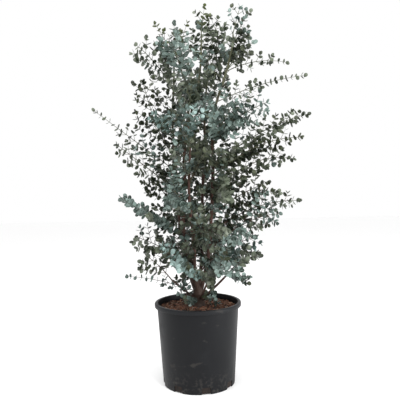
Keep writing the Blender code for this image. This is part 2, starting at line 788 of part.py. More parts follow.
def build_mix(whole_plant, bark_mix):
    """The potting mix: one plug that fills the pot, level under the stem, uneven further out."""
    edge_height = MIX_TOP - MIX_EDGE_DROP
    foot = POT_FLOOR + GAP
    outer = body_radius(edge_height) - POT_WALL - GAP
    shares = np.linspace(1.0, 0.0, MIX_RINGS)
    profile = [(0.0, foot), (body_radius(POT_FLOOR) - POT_WALL - GAP, foot)]
    profile += [(mix(MIX_LEVEL_RADIUS, outer, share), mix(MIX_TOP, edge_height, share)) for share in shares]
    profile.append((0.0, MIX_TOP))
    mesh = turned("potting_mix", profile, POT_SIDES)
    chance = random.Random(SEED)
    for vert in mesh.vertices:
        off_level = math.hypot(vert.co.x, vert.co.y) > MIX_LEVEL_RADIUS + TOLERANCE
        if off_level and vert.co.z > edge_height + TOLERANCE:
            vert.co.z += chance.uniform(-MIX_ROUGHNESS, MIX_ROUGHNESS)
    dress(add_object("potting_mix", mesh), bark_mix, (0.0, 0.0, foot), whole_plant)


def build_limbs(whole_plant, bark):
    """The trunk and its boughs, and a larger copy of each that cuts what meets it clear by the gap."""
    trunk = add_object("trunk", trunk_mesh("trunk"))
    cutters = {"trunk": add_object("trunk_cutter", trunk_mesh("trunk_cutter", GAP))}
    limbs = [trunk]
    for limb in LIMBS:
        obj = add_object(limb.name, limb_mesh(limb))
        cutters[limb.name] = add_object(f"{limb.name}_cutter", limb_mesh(limb, GAP))
        cut_by(obj, cutters["trunk"])
        apply_modifiers(obj)
        keep_outer_body(obj.data)
        limbs.append(obj)
    for obj, name in zip(limbs, ["trunk"] + [limb.name for limb in LIMBS]):
        shade(obj, LIMB_SHARP_ANGLE)
        height = MIX_TOP + GAP if name == "trunk" else mix(BUTT_TOP, FORK_TOP, 0.5)
        dress(obj, bark, limb_place(name, height), whole_plant)
    for cutter in cutters.values():
        cutter.hide_render = True
        cutter.display_type = "WIRE"
    return cutters


def build_foliage(whole_plant, leaf_skin, cutters):
    """Every mass of leaves, each in its own space."""
    sprays = list(SPRAYS)
    for infill in INFILLS:
        sprays.extend(infill_sprays(infill))
    space = Space(sprays)
    for index, spray in enumerate(sprays):
        obj = fused_spray(spray, index, space, cutters[spray.limb])
        dress(obj, leaf_skin, limb_place(spray.limb, spray.height), whole_plant)


def main():
    """Builds the pot and what it holds, and removes the cutters."""
    clear_scene()
    whole_plant = bpy.data.objects.new("potted_cider_gum", None)
    bpy.context.scene.collection.objects.link(whole_plant)
    build_pot(whole_plant, surface("pot_plastic", (0.017, 0.018, 0.021), 0.55))
    build_mix(whole_plant, surface("bark_mix", (0.085, 0.040, 0.026), 0.95))
    cutters = build_limbs(whole_plant, surface("bark", (0.095, 0.060, 0.042), 0.85))
    build_foliage(whole_plant, surface("leaf_skin", (0.130, 0.205, 0.190), 0.60), cutters)
    for cutter in cutters.values():
        bpy.data.objects.remove(cutter)


main()
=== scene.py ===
"""Potted cider gum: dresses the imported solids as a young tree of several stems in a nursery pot.

Metres, in the frame's own axes: +Z up, +X to the photograph's right, -Y towards its viewer.
Azimuths are in degrees, anticlockwise from +X as seen from above.
"""

import json
import logging
import math
import random
from dataclasses import dataclass, field, replace
from enum import Enum
from typing import Iterator, Sequence, Union

import bmesh
import bpy
import numpy as np
from mathutils import Matrix, Vector

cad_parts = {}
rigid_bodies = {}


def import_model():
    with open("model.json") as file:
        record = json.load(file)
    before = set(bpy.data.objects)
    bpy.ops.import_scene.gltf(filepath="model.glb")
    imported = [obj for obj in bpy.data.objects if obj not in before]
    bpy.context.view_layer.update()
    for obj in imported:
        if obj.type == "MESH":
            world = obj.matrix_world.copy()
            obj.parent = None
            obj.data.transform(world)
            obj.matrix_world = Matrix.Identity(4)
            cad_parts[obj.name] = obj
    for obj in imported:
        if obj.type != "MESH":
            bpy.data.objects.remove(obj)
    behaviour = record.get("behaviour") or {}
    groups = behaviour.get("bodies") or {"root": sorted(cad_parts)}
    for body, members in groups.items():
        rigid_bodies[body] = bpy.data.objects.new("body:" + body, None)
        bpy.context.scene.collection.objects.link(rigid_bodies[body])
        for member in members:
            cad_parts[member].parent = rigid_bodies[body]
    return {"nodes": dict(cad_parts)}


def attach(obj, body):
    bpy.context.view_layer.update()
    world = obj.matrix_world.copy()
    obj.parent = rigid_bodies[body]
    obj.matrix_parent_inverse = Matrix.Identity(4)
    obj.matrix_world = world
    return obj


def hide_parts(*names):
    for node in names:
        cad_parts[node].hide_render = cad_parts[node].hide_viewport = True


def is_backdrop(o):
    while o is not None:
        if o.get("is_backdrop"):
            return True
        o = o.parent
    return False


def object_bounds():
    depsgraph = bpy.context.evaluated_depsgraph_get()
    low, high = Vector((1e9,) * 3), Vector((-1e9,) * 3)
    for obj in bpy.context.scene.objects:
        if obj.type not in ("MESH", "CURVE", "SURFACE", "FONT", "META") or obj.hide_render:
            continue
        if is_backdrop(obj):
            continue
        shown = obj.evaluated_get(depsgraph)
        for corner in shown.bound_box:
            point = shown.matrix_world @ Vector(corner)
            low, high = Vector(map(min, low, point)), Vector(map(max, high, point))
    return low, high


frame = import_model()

Array = np.ndarray
Material = bpy.types.Material
Socket = bpy.types.NodeSocket
Colour = tuple[float, float, float]
Place = tuple[float, float, float]
Span = tuple[float, float]
Number = Union[float, "Value"]

LOG = logging.getLogger("potted_cider_gum")
SEED = 41
SHOOT_SEED = 287
GOLDEN_ANGLE = 137.5
GOLDEN_SHARE = 0.618
QUARTER_TURN = math.pi / 2
BOTH_SIDES = (0.0, math.pi)
UP = np.array([0.0, 0.0, 1.0])
BACK = np.array([0.0, 1.0, 0.0])
MERGE_DISTANCE = 1e-5
BLOCK_CORNERS = np.array([(x, y, z) for z in (-1, 1) for x, y in ((-1, -1), (1, -1), (1, 1), (-1, 1))])
BLOCK_QUADS = np.array([(3, 2, 1, 0), (4, 5, 6, 7), (0, 1, 5, 4), (1, 2, 6, 5), (2, 3, 7, 6), (3, 0, 4, 7)])


def direction_at(azimuth: float) -> Array:
    """The level unit vector at an azimuth."""
    turn = math.radians(azimuth)
    return np.array([math.cos(turn), math.sin(turn), 0.0])


def ease(value: Array) -> Array:
    """0 below 0, 1 above 1, and the smooth curve 3v^2 - 2v^3 between them."""
    value = np.clip(value, 0.0, 1.0)
    return value * value * (3.0 - 2.0 * value)


def mix(low: float, high: float, share: float) -> float:
    """A value part of the way from low to high."""
    return low + (high - low) * share


def unit(vector: Array) -> Array:
    """A vector at length 1."""
    return vector / np.linalg.norm(vector)


def around(turn: float, side: Array, lift: Array) -> Array:
    """The direction cos t side + sin t lift, at a turn t in radians from one vector to another."""
    return math.cos(turn) * side + math.sin(turn) * lift


def directions_round(tangent: Array) -> tuple[Array, Array]:
    """Two unit vectors square to a tangent, the first of them level unless the tangent is upright.

    Args:
        tangent: A unit vector.

    Returns:
        The two vectors, which are square to each other too.
    """
    least_slant = 0.2
    level = np.cross(tangent, UP)
    if np.linalg.norm(level) < least_slant:
        level = np.cross(tangent, BACK)
    side = unit(level)
    return side, np.cross(side, tangent)


class Value:
    """A shader socket that takes part in Python sums: each operator adds one Math node."""

    def __init__(self, paint: "Paint", socket: Socket) -> None:
        """Wraps a number socket of a material's nodes."""
        self.paint = paint
        self.socket = socket

    def math(self, operation: str, *values: Number) -> "Value":
        """A Math node on these values, which may be sockets or numbers."""
        node = self.paint.node("ShaderNodeMath", {"operation": operation}, dict(enumerate(values)))
        return Value(self.paint, node.outputs[0])

    def __add__(self, other: Number) -> "Value":
        """Adds."""
        return self.math("ADD", self, other)

    def __sub__(self, other: Number) -> "Value":
        """Takes away."""
        return self.math("SUBTRACT", self, other)

    def __rsub__(self, other: Number) -> "Value":
        """Takes this from a number."""
        return self.math("SUBTRACT", other, self)

    def __mul__(self, other: Number) -> "Value":
        """Multiplies."""
        return self.math("MULTIPLY", self, other)

    def __abs__(self) -> "Value":
        """Drops the sign."""
        return self.math("ABSOLUTE", self)

    __radd__ = __add__
    __rmul__ = __mul__

    def step(self, low: float, high: float) -> "Value":
        """The smooth curve 3v^2 - 2v^3 between two values.

        Args:
            low: The value that becomes 0.
            high: The value that becomes 1.

        Returns:
            A value of 0 to 1.
        """
        values = {"Value": self, "From Min": low, "From Max": high}
        node = self.paint.node("ShaderNodeMapRange", {"interpolation_type": "SMOOTHSTEP"}, values)
        return Value(self.paint, node.outputs[0])


@dataclass(frozen=True)
class Cloud:
    """A pattern of noise: lumps a metre, detail, stretch by axis, and the values it fades between."""

    scale: float
    detail: float = 3.0
    stretch: Place = (1.0, 1.0, 1.0)
    fade: Span = (0.0, 1.0)


class Paint:
    """Builds the nodes of one material round its Principled shader."""

    # The numbers of a Mix node's colour sockets
    mix_low = 6
    mix_high = 7
    mix_result = 2

    def __init__(self, name: str, roughness: float) -> None:
        """Starts a material.

        Args:
            name: Its name.
            roughness: Its plain roughness.
        """
        self.material = bpy.data.materials.new(name)
        self.material.use_nodes = True
        self.tree = self.material.node_tree
        self.shader = self.tree.nodes["Principled BSDF"]
        self.shader.inputs["Roughness"].default_value = roughness

    def node(self, kind: str, settings: dict, values: dict) -> bpy.types.Node:
        """Adds a node, its settings first, then the values or links of its sockets.

        Args:
            kind: The node's type.
            settings: Attribute names and their values.
            values: Socket names or numbers, each with a number, a tuple, a socket or a Value.

        Returns:
            The new node.
        """
        node = self.tree.nodes.new(kind)
        for name, setting in settings.items():
            setattr(node, name, setting)
        for name, value in values.items():
            self.feed(node.inputs[name], value)
        return node

    def feed(self, socket: Socket, value: object) -> None:
        """Links a socket or a Value to a socket, or sets its plain value, a colour with full alpha.

        Args:
            socket: The socket that is fed.
            value: What feeds it.
        """
        if isinstance(value, Value):
            value = value.socket
        if isinstance(value, Socket):
            self.tree.links.new(value, socket)
        elif isinstance(value, tuple) and len(value) + 1 == len(socket.default_value):
            socket.default_value = (*value, 1.0)
        else:
            socket.default_value = value

    def place(self, stretch: Place = (1.0, 1.0, 1.0)) -> Socket:
        """The surface's own place, times a stretch along each axis.

        Args:
            stretch: What each coordinate is multiplied by.

        Returns:
            The socket of the place, in metres.
        """
        coordinates = self.node("ShaderNodeTexCoord", {}, {})
        values = {0: coordinates.outputs["Object"], 1: stretch}
        return self.node("ShaderNodeVectorMath", {"operation": "MULTIPLY"}, values).outputs[0]

    def axis(self, vector: Socket, name: str) -> Value:
        """One coordinate of a vector."""
        return Value(self, self.node("ShaderNodeSeparateXYZ", {}, {0: vector}).outputs[name])

    def height(self) -> Value:
        """The height above the floor, in metres."""
        return self.axis(self.place(), "Z")

    def noise(self, cloud: Cloud) -> Value:
        """A cloud's noise, which lies round a half."""
        values = {"Vector": self.place(cloud.stretch), "Scale": cloud.scale, "Detail": cloud.detail}
        return Value(self, self.node("ShaderNodeTexNoise", {}, values).outputs[0])

    def spots(self, cloud: Cloud) -> Value:
        """A cloud's noise, drawn out to 0 and 1 by its fade."""
        return self.noise(cloud).step(*cloud.fade)

    def blend(self, share: Number | Socket, low: object, high: object) -> Socket:
        """A colour part of the way from low to high."""
        values = {0: share, self.mix_low: low, self.mix_high: high}
        return self.node("ShaderNodeMix", {"data_type": "RGBA"}, values).outputs[self.mix_result]

    def relief(self, height: Value, depth: float) -> None:
        """Bumps the surface by a height of 0 to 1, over this depth in metres."""
        bump = self.node("ShaderNodeBump", {}, {"Height": height, "Distance": depth, "Strength": 1.0})
        self.feed(self.shader.inputs["Normal"], bump.outputs[0])

    def colour(self, value: object) -> None:
        """Sets what colours the surface."""
        self.feed(self.shader.inputs["Base Color"], value)

    def roughness(self, value: Value) -> None:
        """Sets what makes the surface rougher in places."""
        self.feed(self.shader.inputs["Roughness"], value)


class Finish:
    """A finish: its material's name, its plain roughness, and the nodes that dress it."""

    name: str
    plain: float

    def dress(self, paint: Paint) -> None:
        """Adds the nodes, in each finish's own way."""
        raise NotImplementedError

    def build(self) -> Material:
        """Makes the material.

        Returns:
            The material, dressed.
        """
        paint = Paint(self.name, self.plain)
        self.dress(paint)
        return paint.material


@dataclass(frozen=True)
class PotPlastic(Finish):
    """Near-black moulded plastic: faint mould streaks, dust near the foot, a few dull scuffs, and a painted
    highlight that makes the lip paler.
    """

    name: str = "pot_plastic"
    plain: float = 0.5
    black: Colour = (0.0040, 0.0045, 0.0058)
    # the colour of wear, and of the painted highlight on the lip
    worn_and_highlight: Colour = (0.012, 0.013, 0.015)
    dust: Colour = (0.080, 0.074, 0.066)
    gloss: float = 0.18
    streaks: Cloud = Cloud(60.0, stretch=(1.0, 1.0, 0.12))
    wear: Cloud = Cloud(9.0, 5.0, fade=(0.50, 0.78))
    scuffs: Cloud = Cloud(30.0, 7.0, (0.5, 0.5, 1.0), (0.62, 0.72))
    dusting: Cloud = Cloud(70.0, fade=(0.45, 0.75))
    pores: Cloud = Cloud(900.0)
    dusty_heights: Span = (0.0, 0.12)
    # the heights over which the lip is painted paler, as a highlight
    lip_highlight_heights: Span = (0.352, 0.360)
    wear_share: float = 0.45
    lip_highlight_share: float = 0.50
    scuff_share: float = 0.26
    dust_share: float = 0.40
    smoothest: float = 0.40
    wear_rough: float = 0.16
    scuff_rough: float = 0.22
    streak_rough: float = 0.08
    streak_relief: float = 0.4
    pore_relief: float = 0.6
    depth: float = 0.00012

    def dress(self, paint: Paint) -> None:
        """Wears and scuffs the black, with the rim painted paler as a highlight, and a dusty foot.

        Args:
            paint: The material's nodes.
        """
        paint.shader.inputs["Specular IOR Level"].default_value = self.gloss
        height = paint.height()
        streaks = paint.noise(self.streaks)
        wear = paint.spots(self.wear)
        scuffs = paint.spots(self.scuffs)
        dusty = (1.0 - height.step(*self.dusty_heights)) * paint.spots(self.dusting)
        # wear patches, plus a painted highlight that makes the lip paler above a height
        wear_and_lip_highlight = wear * self.wear_share + height.step(*self.lip_highlight_heights) * self.lip_highlight_share
        base = paint.blend(wear_and_lip_highlight, self.black, self.worn_and_highlight)
        base = paint.blend(scuffs * self.scuff_share, base, self.dust)
        paint.colour(paint.blend(dusty * self.dust_share, base, self.dust))
        rough = self.smoothest + wear * self.wear_rough + scuffs * self.scuff_rough
        paint.roughness(rough + streaks * self.streak_rough)
        pores = paint.noise(self.pores)
        paint.relief(streaks * self.streak_relief + pores * self.pore_relief, self.depth)


@dataclass(frozen=True)
class BarkChips(Finish):
    """Damp bark: each chip in its own tint, with fibres along it and painted shade in the furrows between
    them.
    """

    name: str
    dark: Colour
    light: Colour
    plain: float = 0.9
    shades_a_metre: float = 85.0
    fibres: Cloud = Cloud(700.0, 4.0, (1.0, 0.3, 1.0), (0.45, 0.80))
    lumps: Cloud = Cloud(260.0)
    # how far the painted shade darkens the furrows
    furrow_shade_share: float = 0.5
    fibre_relief: float = 0.5
    depth: float = 0.0012

    def dress(self, paint: Paint) -> None:
        """Gives each chip its own tint, and paints shade into the furrows between its fibres, where their
        relief is low.

        Args:
            paint: The material's nodes.
        """
        cells = {"Vector": paint.place(), "Scale": self.shades_a_metre}
        shade = paint.node("ShaderNodeTexVoronoi", {}, cells).outputs["Color"]
        fibres = paint.noise(self.fibres)
        # painted shade: darker where the fibre relief is low, in the furrows
        furrow_shade = (1.0 - fibres).step(*self.fibres.fade)
        base = paint.blend(shade, self.dark, self.light)
        paint.colour(paint.blend(furrow_shade * self.furrow_shade_share, base, self.dark))
        paint.relief(fibres * self.fibre_relief + paint.noise(self.lumps), self.depth)


@dataclass(frozen=True)
class YoungBark(Finish):
    """Smooth gum bark: brown and flaking low down, redder above, greener where the stem is young."""

    name: str = "young_bark"
    plain: float = 0.7
    brown: Colour = (0.046, 0.021, 0.013)
    red: Colour = (0.062, 0.022, 0.014)
    green: Colour = (0.055, 0.062, 0.026)
    grey: Colour = (0.085, 0.060, 0.045)
    streaks: Cloud = Cloud(420.0, 4.0, (1.0, 1.0, 0.10), (0.42, 0.72))
    patches: Cloud = Cloud(60.0, 4.0, (1.0, 1.0, 0.30), (0.52, 0.66))
    reddens: Span = (0.40, 0.62)
    stops_flaking: Span = (0.45, 0.75)
    greens: Span = (0.95, 1.45)
    green_wander: float = 0.5
    flake_share: float = 0.55
    streak_share: float = 0.45
    smoothest: float = 0.55
    patch_rough: float = 0.3
    streak_relief: float = 0.6
    flake_relief: float = 0.4
    depth: float = 0.0006

    def dress(self, paint: Paint) -> None:
        """Turns the bark from brown to red to green with height, with grey flakes and streaks.

        Args:
            paint: The material's nodes.
        """
        height = paint.height()
        streaks = paint.noise(self.streaks)
        patches = paint.noise(self.patches)
        base = paint.blend(height.step(*self.reddens), self.brown, self.red)
        youth = height + (patches - 0.5) * self.green_wander
        base = paint.blend(youth.step(*self.greens), base, self.green)
        flakes = patches.step(*self.patches.fade) * (1.0 - height.step(*self.stops_flaking))
        base = paint.blend(flakes * self.flake_share, base, self.grey)
        paint.colour(paint.blend(streaks.step(*self.streaks.fade) * self.streak_share, base, self.grey))
        paint.roughness(self.smoothest + patches * self.patch_rough)
        paint.relief(streaks * self.streak_relief + flakes * self.flake_relief, self.depth)


@dataclass(frozen=True)
class TwigSkin(Finish):
    """The skin of side twigs: reddish at the foot of the crown, green with a bloom above."""

    name: str = "twig_skin"
    plain: float = 0.6
    red: Colour = (0.060, 0.024, 0.015)
    green: Colour = (0.075, 0.085, 0.045)
    patches: Cloud = Cloud(26.0)
    pores: Cloud = Cloud(900.0)
    greens: Span = (0.75, 1.25)
    height_share: float = 0.6
    depth: float = 0.0002

    def dress(self, paint: Paint) -> None:
        """Turns the skin from red to green with height, in patches.

        Args:
            paint: The material's nodes.
        """
        youth = paint.height() * self.height_share + paint.noise(self.patches)
        paint.colour(paint.blend(youth.step(*self.greens), self.red, self.green))
        paint.relief(paint.noise(self.pores), self.depth)


class Tone(Enum):
    """The tones in which sprays of leaves come: each one's deep and its bloomed colour. The darkest is a
    copy of the grey-green with painted shade, and the palest a copy of the glaucous with painted light.
    """

    # painted shade: a darker copy of the grey-green, for sprays and shoots that stand for the crown's shaded
    # parts
    DEEP = ((0.007, 0.012, 0.004), (0.062, 0.074, 0.040))
    GREY_GREEN = ((0.012, 0.020, 0.008), (0.145, 0.170, 0.120))
    GLAUCOUS = ((0.022, 0.038, 0.028), (0.215, 0.290, 0.262))
    # painted light: a brighter copy of the glaucous, for sprays where light falls on the crown
    PALE = ((0.060, 0.094, 0.080), (0.270, 0.375, 0.355))
    YELLOW_GREEN = ((0.030, 0.042, 0.010), (0.110, 0.135, 0.050))


@dataclass(frozen=True)
class LeafSkin(Finish):
    """Waxy leaf: each with its own share of bloom, a pale midrib and a darker edge."""

    tone: Tone
    plain: float = 0.5
    patches: Cloud = Cloud(30.0, 2.0)
    blotches: Cloud = Cloud(240.0, fade=(0.40, 0.80))
    blooms: Span = (0.30, 1.00)
    midrib: Span = (0.010, 0.035)
    edge: Span = (0.36, 0.48)
    own_share: float = 0.80
    patch_share: float = 0.40
    blotch_share: float = 0.35
    midrib_share: float = 0.6
    edge_share: float = 0.4
    midrib_gain: float = 1.5
    midrib_lift: float = 0.03
    smoothest: float = 0.34
    blotch_rough: float = 0.22

    @property
    def name(self) -> str:
        """The material's name."""
        return f"leaf_{self.tone.name.lower()}"

    def dress(self, paint: Paint) -> None:
        """Shades each leaf by its map, which runs along and across it, and by its own bloom.

        Args:
            paint: The material's nodes.
        """
        deep, bloomed = self.tone.value
        pale = tuple(min(1.0, channel * self.midrib_gain + self.midrib_lift) for channel in bloomed)
        chart = paint.node("ShaderNodeUVMap", {"uv_map": "leaf"}, {}).outputs[0]
        off_midrib = abs(paint.axis(chart, "Y") - 0.5)
        own = paint.node("ShaderNodeAttribute", {"attribute_name": "bloom"}, {}).outputs["Fac"]
        bloom = Value(paint, own) * self.own_share + paint.noise(self.patches) * self.patch_share
        blotches = paint.noise(self.blotches)
        base = paint.blend(bloom.step(*self.blooms), deep, bloomed)
        base = paint.blend(blotches.step(*self.blotches.fade) * self.blotch_share, base, deep)
        base = paint.blend((1.0 - off_midrib.step(*self.midrib)) * self.midrib_share, base, pale)
        paint.colour(paint.blend(off_midrib.step(*self.edge) * self.edge_share, base, deep))
        paint.roughness(self.smoothest + blotches * self.blotch_rough)


@dataclass(frozen=True)
class PlainGrain(Finish):
    """Grains of one colour, a little darker in places."""

    name: str
    colour: Colour
    plain: float = 0.85
    darker: float = 0.6
    grain: Cloud = Cloud(500.0)
    depth: float = 0.0005

    def dress(self, paint: Paint) -> None:
        """Darkens the colour in places.

        Args:
            paint: The material's nodes.
        """
        dark = tuple(channel * self.darker for channel in self.colour)
        grain = paint.noise(self.grain)
        paint.colour(paint.blend(grain, dark, self.colour))
        paint.relief(grain, self.depth)


def make_piece(
    name: str,
    points: Array,
    faces: Array,
    material: Material,
    slot: str,
    uv: Array | None = None,
    sharp: float = 40.0,
) -> bpy.types.Object:
    """Makes one mesh object that rides on the plant's only body.

    Args:
        name: The object's name.
        points: One row of coordinates a vertex.
        faces: One row of vertex numbers a face, of three or four corners.
        material: Its material.
        slot: Not used.
        uv: One row a vertex of the map named leaf, where the piece has one.
        sharp: The angle in degrees past which an edge stays sharp.

    Returns:
        The object.
    """
    corners = faces.shape[1]
    mesh = bpy.data.meshes.new(name)
    mesh.vertices.add(len(points))
    mesh.vertices.foreach_set("co", points.astype(np.float32).ravel())
    mesh.loops.add(faces.size)
    mesh.loops.foreach_set("vertex_index", faces.astype(np.int32).ravel())
    mesh.polygons.add(len(faces))
    mesh.polygons.foreach_set("loop_start", np.arange(0, faces.size, corners, dtype=np.int32))
    mesh.update(calc_edges=True)
    if uv is not None:
        layer = mesh.uv_layers.new(name="leaf")
        layer.data.foreach_set("uv", uv[faces.ravel()].astype(np.float32).ravel())
    mesh.materials.append(material)
    mesh.shade_smooth()
    mesh.set_sharp_from_angle(angle=math.radians(sharp))
    piece = bpy.data.objects.new(name, mesh)
    bpy.context.scene.collection.objects.link(piece)
    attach(piece, "root")
    return piece


def grid_faces(rings: int, sides: int) -> Array:
    """The quads between rings of points that close on themselves.

    Args:
        rings: The number of rings.
        sides: The number of points round each.

    Returns:
        One row of four point numbers a quad.
    """
    ring, side = np.meshgrid(np.arange(rings - 1), np.arange(sides), indexing="ij")
    following = (side + 1) % sides
    corners = [ring * sides + side, ring * sides + following,
               (ring + 1) * sides + following, (ring + 1) * sides + side]
    return np.stack([corner.ravel() for corner in corners], axis=1)


def tube(path: Array, radii: Array, sides: int) -> tuple[Array, Array]:
    """A closed tube: at each path point a ring of radius r(s, t) square to the path.

    A point of the ring at turn t is path(s) + r(s, t) (cos t across + sin t lift), where across is
    carried along the path by taking off its part along the tangent. Both ends shrink to a point.

    Args:
        path: The middle line, one row a ring.
        radii: One radius a ring, or one row of radii a ring.
        sides: The number of points round a ring.

    Returns:
        The points and the quads.
    """
    never_along = (0.31, 0.95, 0.05)
    tangents = np.gradient(path, axis=0)
    tangents /= np.linalg.norm(tangents, axis=1)[:, None]
    across = np.empty_like(path)
    carried = unit(np.cross(tangents[0], never_along))
    for number, tangent in enumerate(tangents):
        carried = unit(carried - tangent * carried.dot(tangent))
        across[number] = carried
    lift = np.cross(tangents, across)
    turns = np.linspace(0.0, math.tau, sides, endpoint=False)[None, :, None]
    radii = np.broadcast_to(np.asarray(radii, float).reshape(len(path), -1), (len(path), sides))
    outward = np.cos(turns) * across[:, None] + np.sin(turns) * lift[:, None]
    rings = path[:, None] + radii[:, :, None] * outward
    ends = np.repeat(path[[0, -1]][:, None], sides, axis=1)
    points = np.concatenate([ends[:1], rings, ends[1:]]).reshape(-1, 3)
    return points, grid_faces(len(path) + 2, sides)


@dataclass(frozen=True)
class Bend:
    """A smooth shift of a stem to one side: the height it starts at, its rise and its reach."""

    start: float
    rise: float
    reach: float

    def at(self, heights: Array) -> Array:
        """How far it has carried the stem at these heights."""
        return self.reach * ease((heights - self.start) / self.rise)


@dataclass(frozen=True)
class Trunk:
    """The trunk: a flared butt, then the middle leader, which goes left and comes back right."""

    name: str = "trunk"
    foot_height: float = 0.3513
    top_height: float = 1.60
    foot_x: float = 0.004
    butt_top: float = 0.405
    fork_top: float = 0.468
    butt_radius: float = 0.0265
    flare: float = 0.0075
    flare_height: float = 0.012
    leader_radius: float = 0.0105
    tip_radius: float = 0.0024
    taper_power: float = 0.6
    sway: float = 0.005
    sway_wave: float = 0.42
    sway_rise: float = 0.22
    leftward: Bend = Bend(0.42, 0.26, -0.060)
    rightward: Bend = Bend(0.95, 0.66, 0.101)
    backward: Bend = Bend(0.50, 0.60, 0.012)

    def waver(self, heights: Array, phase: float, start: float) -> Array:
        """The slow wave from side to side: sway times sin(height / wave), eased in from a start."""
        wave = np.sin(heights / self.sway_wave * math.tau + phase)
        return self.sway * wave * ease((heights - start) / self.sway_rise)

    def points(self, heights: Array) -> Array:
        """The middle line: the sum of its bends and its sway at each height.

        Args:
            heights: The heights above the floor.

        Returns:
            One row of coordinates a height.
        """
        heights = np.asarray(heights, float)
        waver = self.waver(heights, 0.0, self.fork_top)
        across = self.foot_x + self.leftward.at(heights) + self.rightward.at(heights)
        return np.stack([across + waver, self.backward.at(heights) - waver, heights], axis=-1)

    def radii(self, heights: Array) -> Array:
        """The leader's taper (1 - share)^power, thickened to the butt, with the root flare at the mix.

        Args:
            heights: The heights above the floor.

        Returns:
            One radius a height.
        """
        heights = np.asarray(heights, float)
        share = np.clip((heights - self.fork_top) / (self.top_height - self.fork_top), 0.0, 1.0)
        leader = mix(self.tip_radius, self.leader_radius, (1.0 - share) ** self.taper_power)
        butt = ease((self.fork_top - heights) / (self.fork_top - self.butt_top))
        flare = self.flare * np.exp(-(heights - self.foot_height) / self.flare_height)
        return leader + (self.butt_radius - self.leader_radius) * butt + flare


TRUNK = Trunk()


@dataclass(frozen=True)
class Limb:
    """A leader or a low bough, which springs from the butt and bends out to one side."""

    name: str
    foot_height: float
    top_height: float
    azimuth: float
    spread: float
    settle: float
    lean: float
    lean_azimuth: float
    lean_from: float
    foot_radius: float
    tip_radius: float

    def points(self, heights: Array) -> Array:
        """The middle line: spread (1 - e^(-climb / settle)) outwards, a sway aside, and a lean above.

        Args:
            heights: The heights above the floor.

        Returns:
            One row of coordinates a height.
        """
        heights = np.asarray(heights, float)
        climbed = heights - self.foot_height
        whole = self.top_height - self.foot_height
        out = self.spread * (1.0 - np.exp(-climbed / self.settle)) / (1.0 - math.exp(-whole / self.settle))
        lean = self.lean * ease((heights - self.lean_from) / (self.top_height - self.lean_from))
        waver = TRUNK.waver(heights, math.radians(self.azimuth), self.foot_height)
        points = out[:, None] * direction_at(self.azimuth)
        points = points + waver[:, None] * direction_at(self.azimuth + 90.0)
        points = points + lean[:, None] * direction_at(self.lean_azimuth)
        points = points + TRUNK.points([self.foot_height])[0] * (1, 1, 0)
        return points + heights[:, None] * UP

    def radii(self, heights: Array) -> Array:
        """The taper, slow at first and quicker near the tip."""
        share = (np.asarray(heights, float) - self.foot_height) / (self.top_height - self.foot_height)
        return mix(self.tip_radius, self.foot_radius, (1.0 - share) ** TRUNK.taper_power)


LIMBS = (
    Limb("right_leader", 0.392, 1.60, -14.0, 0.083, 0.22, 0.100, 2.0, 1.17, 0.0095, 0.0026),
    Limb("left_leader", 0.396, 1.56, 158.0, 0.118, 0.27, 0.016, 20.0, 1.20, 0.0085, 0.0026),
    Limb("back_leader", 0.392, 1.50, 72.0, 0.125, 0.30, 0.045, -60.0, 1.00, 0.0085, 0.0026),
    Limb("front_leader", 0.394, 1.36, 254.0, 0.120, 0.26, 0.030, 80.0, 0.90, 0.0080, 0.0026),
    Limb("low_bough_right", 0.374, 0.510, -28.0, 0.150, 0.40, 0.0, 0.0, 0.50, 0.0066, 0.0038),
    Limb("low_bough_left", 0.378, 0.480, 190.0, 0.125, 0.40, 0.0, 0.0, 0.45, 0.0058, 0.0036),
    Limb("low_bough_front", 0.374, 0.490, -72.0, 0.140, 0.40, 0.0, 0.0, 0.48, 0.0060, 0.0036),
    Limb("low_bough_back", 0.376, 0.500, 112.0, 0.140, 0.40, 0.0, 0.0, 0.48, 0.0060, 0.0036),
)
LEADERS = (TRUNK, *LIMBS[:4])
LIMB_NAMED = {limb.name: limb for limb in (TRUNK, *LIMBS)}


@dataclass(frozen=True)
class Spray:
    """The stem of one mass of leaves: where it leaves its limb, its reach to its tip, and its tone."""

    name: str
    limb: str
    height: float
    azimuth: float
    reach: float
    rise: float
    arch: float
    breadth: float
    tone: Tone = Tone.GREY_GREEN
    sway: float = 0.022
    sway_wave: float = 97.0

    def points(self, shares: Array) -> Array:
        """Out and up in proportion to the share s, bowed up by 4 arch s (1 - s) and swayed aside.

        Args:
            shares: The shares of the way to its tip.

        Returns:
            One row of coordinates a share.
        """
        shares = np.asarray(shares, float)
        bow = shares * (1.0 - shares)
        aside = self.sway * math.sin(self.height * self.sway_wave + self.azimuth)
        points = self.reach * shares[:, None] * direction_at(self.azimuth)
        points = points + (self.rise * shares + 4.0 * self.arch * bow)[:, None] * UP
        points = points + aside * bow[:, None] * direction_at(self.azimuth + 90.0)
        return points + LIMB_NAMED[self.limb].points([self.height])[0]
